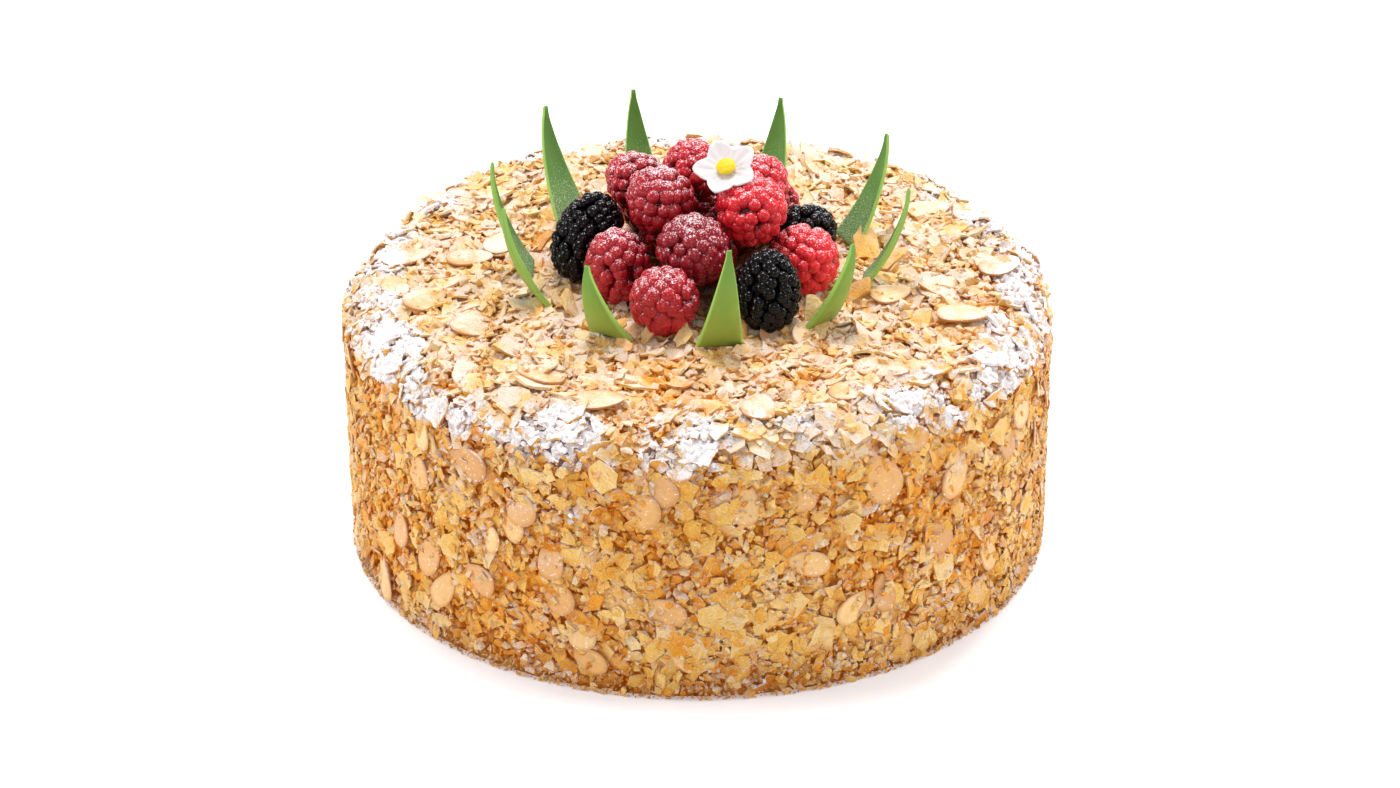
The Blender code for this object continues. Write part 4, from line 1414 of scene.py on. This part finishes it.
# ---------------------------------------------------------------- operators


class CakeOperator:
    """What all the cake's operators share."""

    bl_options = {"REGISTER", "UNDO"}


class NAPOLEON_OT_crust(CakeOperator, bpy.types.Operator):
    """Makes the cake's body with its crumb coat"""

    bl_idname = "napoleon.crust"
    bl_label = "Crumb Coat"

    def execute(self, context):
        settings = context.scene.napoleon_cake
        mesh = grown("crust_core", coat_mesh(CORE_STEP, CORE_INSET), coat_growth(), {
            "Relief": settings.relief, "Crag": settings.crag, "Plates": 1.0,
            "Material": pastry_finish("crumb_coat", 0.06)})
        piece("crust_core", mesh, ["cake"])
        return {"FINISHED"}


class NAPOLEON_OT_pastry(CakeOperator, bpy.types.Operator):
    """Strews flakes, slivers and crumbs of puff pastry over the coat"""

    bl_idname = "napoleon.pastry"
    bl_label = "Pastry Flakes"

    def execute(self, context):
        settings = context.scene.napoleon_cake
        rng = random.Random(PASTRY_SEED)
        shapes = {
            kind: shape_collection(kind, [pastry_shape(rng, *looks) for _ in range(count)])
            for kind, count, *looks in PASTRY_SHAPES}
        growth = strewing()
        bed = grown("bed", coat_mesh(BED_STEP), coat_growth(), {
            "Relief": settings.relief, "Crag": settings.crag, "Plates": 0.0})
        foot = foot_mesh()
        for layer in LAYERS:
            kind = layer.kind
            mesh = grown(f"pastry_{kind}s", foot if kind == "loose_crumb" else bed, growth, {
                "Shapes": shapes[kind.removeprefix("loose_")],
                **{titled(measure): getattr(settings, f"{kind}_{measure}") for measure in PASTRY_MEASURES},
                **{titled(field): getattr(layer, field) * unit for field, unit in LAYER_UNITS.items()},
                "Seed": layer.seed, "Material": pastry_finish(f"{kind}_pastry", layer.darker)})
            piece(mesh.name, mesh)
        mesh = grown("pastry_chips", spots_mesh(chip_spots(rng)), set_growth(), {
            "Shapes": shapes["chip"], "Seed": CHIP_SEED, "Material": pastry_finish("chip_pastry", 0.12, 0.3)})
        piece("pastry_chips", mesh)
        for collection in shapes.values():
            drop_collection(collection)
        return {"FINISHED"}


class NAPOLEON_OT_almonds(CakeOperator, bpy.types.Operator):
    """Sets almond slices into the coat"""

    bl_idname = "napoleon.almonds"
    bl_label = "Almond Slices"

    def execute(self, context):
        rng = random.Random(ALMOND_SEED)
        shapes = shape_collection("almond", [almond_shape(rng) for _ in range(6)])
        mesh = grown("almond_slices", spots_mesh(almond_spots(rng)), set_growth(), {
            "Shapes": shapes, "Seed": ALMOND_SEED, "Material": almond_finish()})
        piece("almond_slices", mesh)
        drop_collection(shapes)
        return {"FINISHED"}


class NAPOLEON_OT_icing(CakeOperator, bpy.types.Operator):
    """Heaps icing sugar on the flakes along the rim"""

    bl_idname = "napoleon.icing"
    bl_label = "Icing Sugar"

    def execute(self, context):
        settings = context.scene.napoleon_cake
        bm = bmesh.new()
        for name in ("pastry_flakes", "pastry_scraps"):
            bm.from_mesh(bpy.data.objects[name].data)
        mesh = grown("icing_sugar", mesh_from(bm, "dusted"), icing_growth(), {
            "Density": ICING_DENSITY, "Lump": settings.lump, "Cell": ICING_CELL, "Seed": ICING_SEED,
            "Material": icing_finish()})
        piece("icing_sugar", mesh)
        return {"FINISHED"}


class NAPOLEON_OT_berries(CakeOperator, bpy.types.Operator):
    """Makes every raspberry and bramble berry of the heap"""

    bl_idname = "napoleon.berries"
    bl_label = "Berries"

    def execute(self, context):
        settings = context.scene.napoleon_cake
        growth = berry_growth()
        hair = hair_finish()
        for number, (node, width, tall, azimuth, elevation, dust, darkness) in enumerate(BERRIES):
            low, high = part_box(node)
            kind = node.split("_")[0]
            if kind == "bramble":
                material = bramble_finish(f"{node}_flesh", dust)
            else:
                material = raspberry_finish(f"{node}_flesh", dust, darkness)
            bead = getattr(settings, f"{kind}_bead")
            spacing, taper, hairs = BERRY_KINDS[kind]
            area = math.pi * width * MM * (width + tall) / 2 * MM
            beads = round(area / (bead * spacing) ** 2 / CLOSE_PACKING)
            mesh = grown(node, bpy.data.meshes.new("seed"), growth, {
                "Beads": beads, "Half width": width / 2 * MM, "Half length": tall / 2 * MM,
                "Taper": taper, "Bead": bead, "Hairs": hairs, "Seed": number * 10,
                "Material": material, "Hair": hair})
            turn = turned_to(heading(azimuth, elevation), number * GOLDEN_ANGLE).to_matrix().to_4x4()
            mesh.transform(Matrix.Translation((low + high) / 2) @ turn)
            note_height(mesh)
            piece(f"{node}_berry", mesh, [node])
        return {"FINISHED"}


class NAPOLEON_OT_leaves(CakeOperator, bpy.types.Operator):
    """Makes the ring of sugar-paste leaves"""

    bl_idname = "napoleon.leaves"
    bl_label = "Leaves"

    def execute(self, context):
        material = leaf_finish()
        for node, *sizes in LEAVES:
            mesh = evaluated(node, leaf_mesh(*sizes), soften)
            piece(f"{node}_paste", mesh, [node], material)
        return {"FINISHED"}


class NAPOLEON_OT_flower(CakeOperator, bpy.types.Operator):
    """Makes the sugar flower and its eye"""

    bl_idname = "napoleon.flower"
    bl_label = "Flower"

    def execute(self, context):
        petals = petal_mesh()
        petals.transform(flower_place(0))
        piece("flower_petals_paste", petals, ["flower_petals"], petal_finish())
        eye = eye_mesh()
        eye.transform(flower_place(0.6 * MM + CLEARANCE + EYE_HEIGHT / 2))
        piece("flower_eye_icing", eye, ["flower_eye"], eye_finish())
        return {"FINISHED"}


class NAPOLEON_OT_stage(CakeOperator, bpy.types.Operator):
    """Sets the camera, the pale floor and soft studio light"""

    bl_idname = "napoleon.stage"
    bl_label = "Stage"

    def execute(self, context):
        scene = context.scene
        camera = placed("camera", bpy.data.cameras.new("camera"))
        camera.location = CAMERA_PLACE
        camera.rotation_euler = (math.radians(90 - CAMERA_DOWN), 0, 0)
        camera.data.lens = CAMERA_LENS
        camera.data.clip_start = 10 * MM
        scene.camera = camera

        bm = bmesh.new()
        bmesh.ops.create_grid(bm, x_segments=1, y_segments=1, size=FLOOR_REACH)
        floor = placed("floor", mesh_from(bm, "floor"))
        finish = Finish("pale_floor")
        shade = finish.noise(0.5, 1.0) * 0.01
        floor.data.materials.append(finish.principled(
            base_color=finish.mixed(shade, srgb("f6f9ff"), srgb("eceff6")), roughness=0.6,
            specular_ior_level=0.2, emission_color=srgb("ffffff"), emission_strength=FLOOR_GLOW))

        world = bpy.data.worlds.new("studio")
        world.use_nodes = True
        sky = world.node_tree.nodes["Background"]
        sky.inputs["Color"].default_value = (1.0, 1.0, 1.0, 1.0)
        sky.inputs["Strength"].default_value = SKY_LIGHT
        scene.world = world
        for name, place, size, watts in LAMPS:
            lamp = bpy.data.lights.new(name, "AREA")
            lamp.shape = "DISK"
            lamp.size = size
            lamp.energy = watts
            made = placed(name, lamp)
            made.location = place
            aim = Vector(LAMP_TARGET) - made.location
            made.rotation_euler = aim.to_track_quat("-Z", "Y").to_euler()
        scene.view_settings.view_transform = "Standard"
        return {"FINISHED"}


OPERATORS = (
    NAPOLEON_OT_stage, NAPOLEON_OT_crust, NAPOLEON_OT_pastry, NAPOLEON_OT_almonds,
    NAPOLEON_OT_icing, NAPOLEON_OT_berries, NAPOLEON_OT_leaves, NAPOLEON_OT_flower)


class NAPOLEON_PT_panel(bpy.types.Panel):
    """Lists the cake's operators and settings in the 3D view's sidebar."""

    bl_idname = "NAPOLEON_PT_panel"
    bl_label = "Napoleon Cake"
    bl_space_type = "VIEW_3D"
    bl_region_type = "UI"
    bl_category = "Cake"

    def draw(self, context):
        for operator in OPERATORS:
            self.layout.operator(operator.bl_idname)
        settings = context.scene.napoleon_cake
        for name in CakeSettings.__annotations__:
            self.layout.prop(settings, name)


CLASSES = (CakeSettings, *OPERATORS, NAPOLEON_PT_panel)


def register():
    for made in CLASSES:
        bpy.utils.register_class(made)
    bpy.types.Scene.napoleon_cake = bpy.props.PointerProperty(type=CakeSettings)


def unregister():
    del bpy.types.Scene.napoleon_cake
    for made in reversed(CLASSES):
        bpy.utils.unregister_class(made)


def main():
    register()
    for operator in OPERATORS:
        group, name = operator.bl_idname.split(".")
        getattr(getattr(bpy.ops, group), name)()
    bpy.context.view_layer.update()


if __name__ == "__main__":
    main()
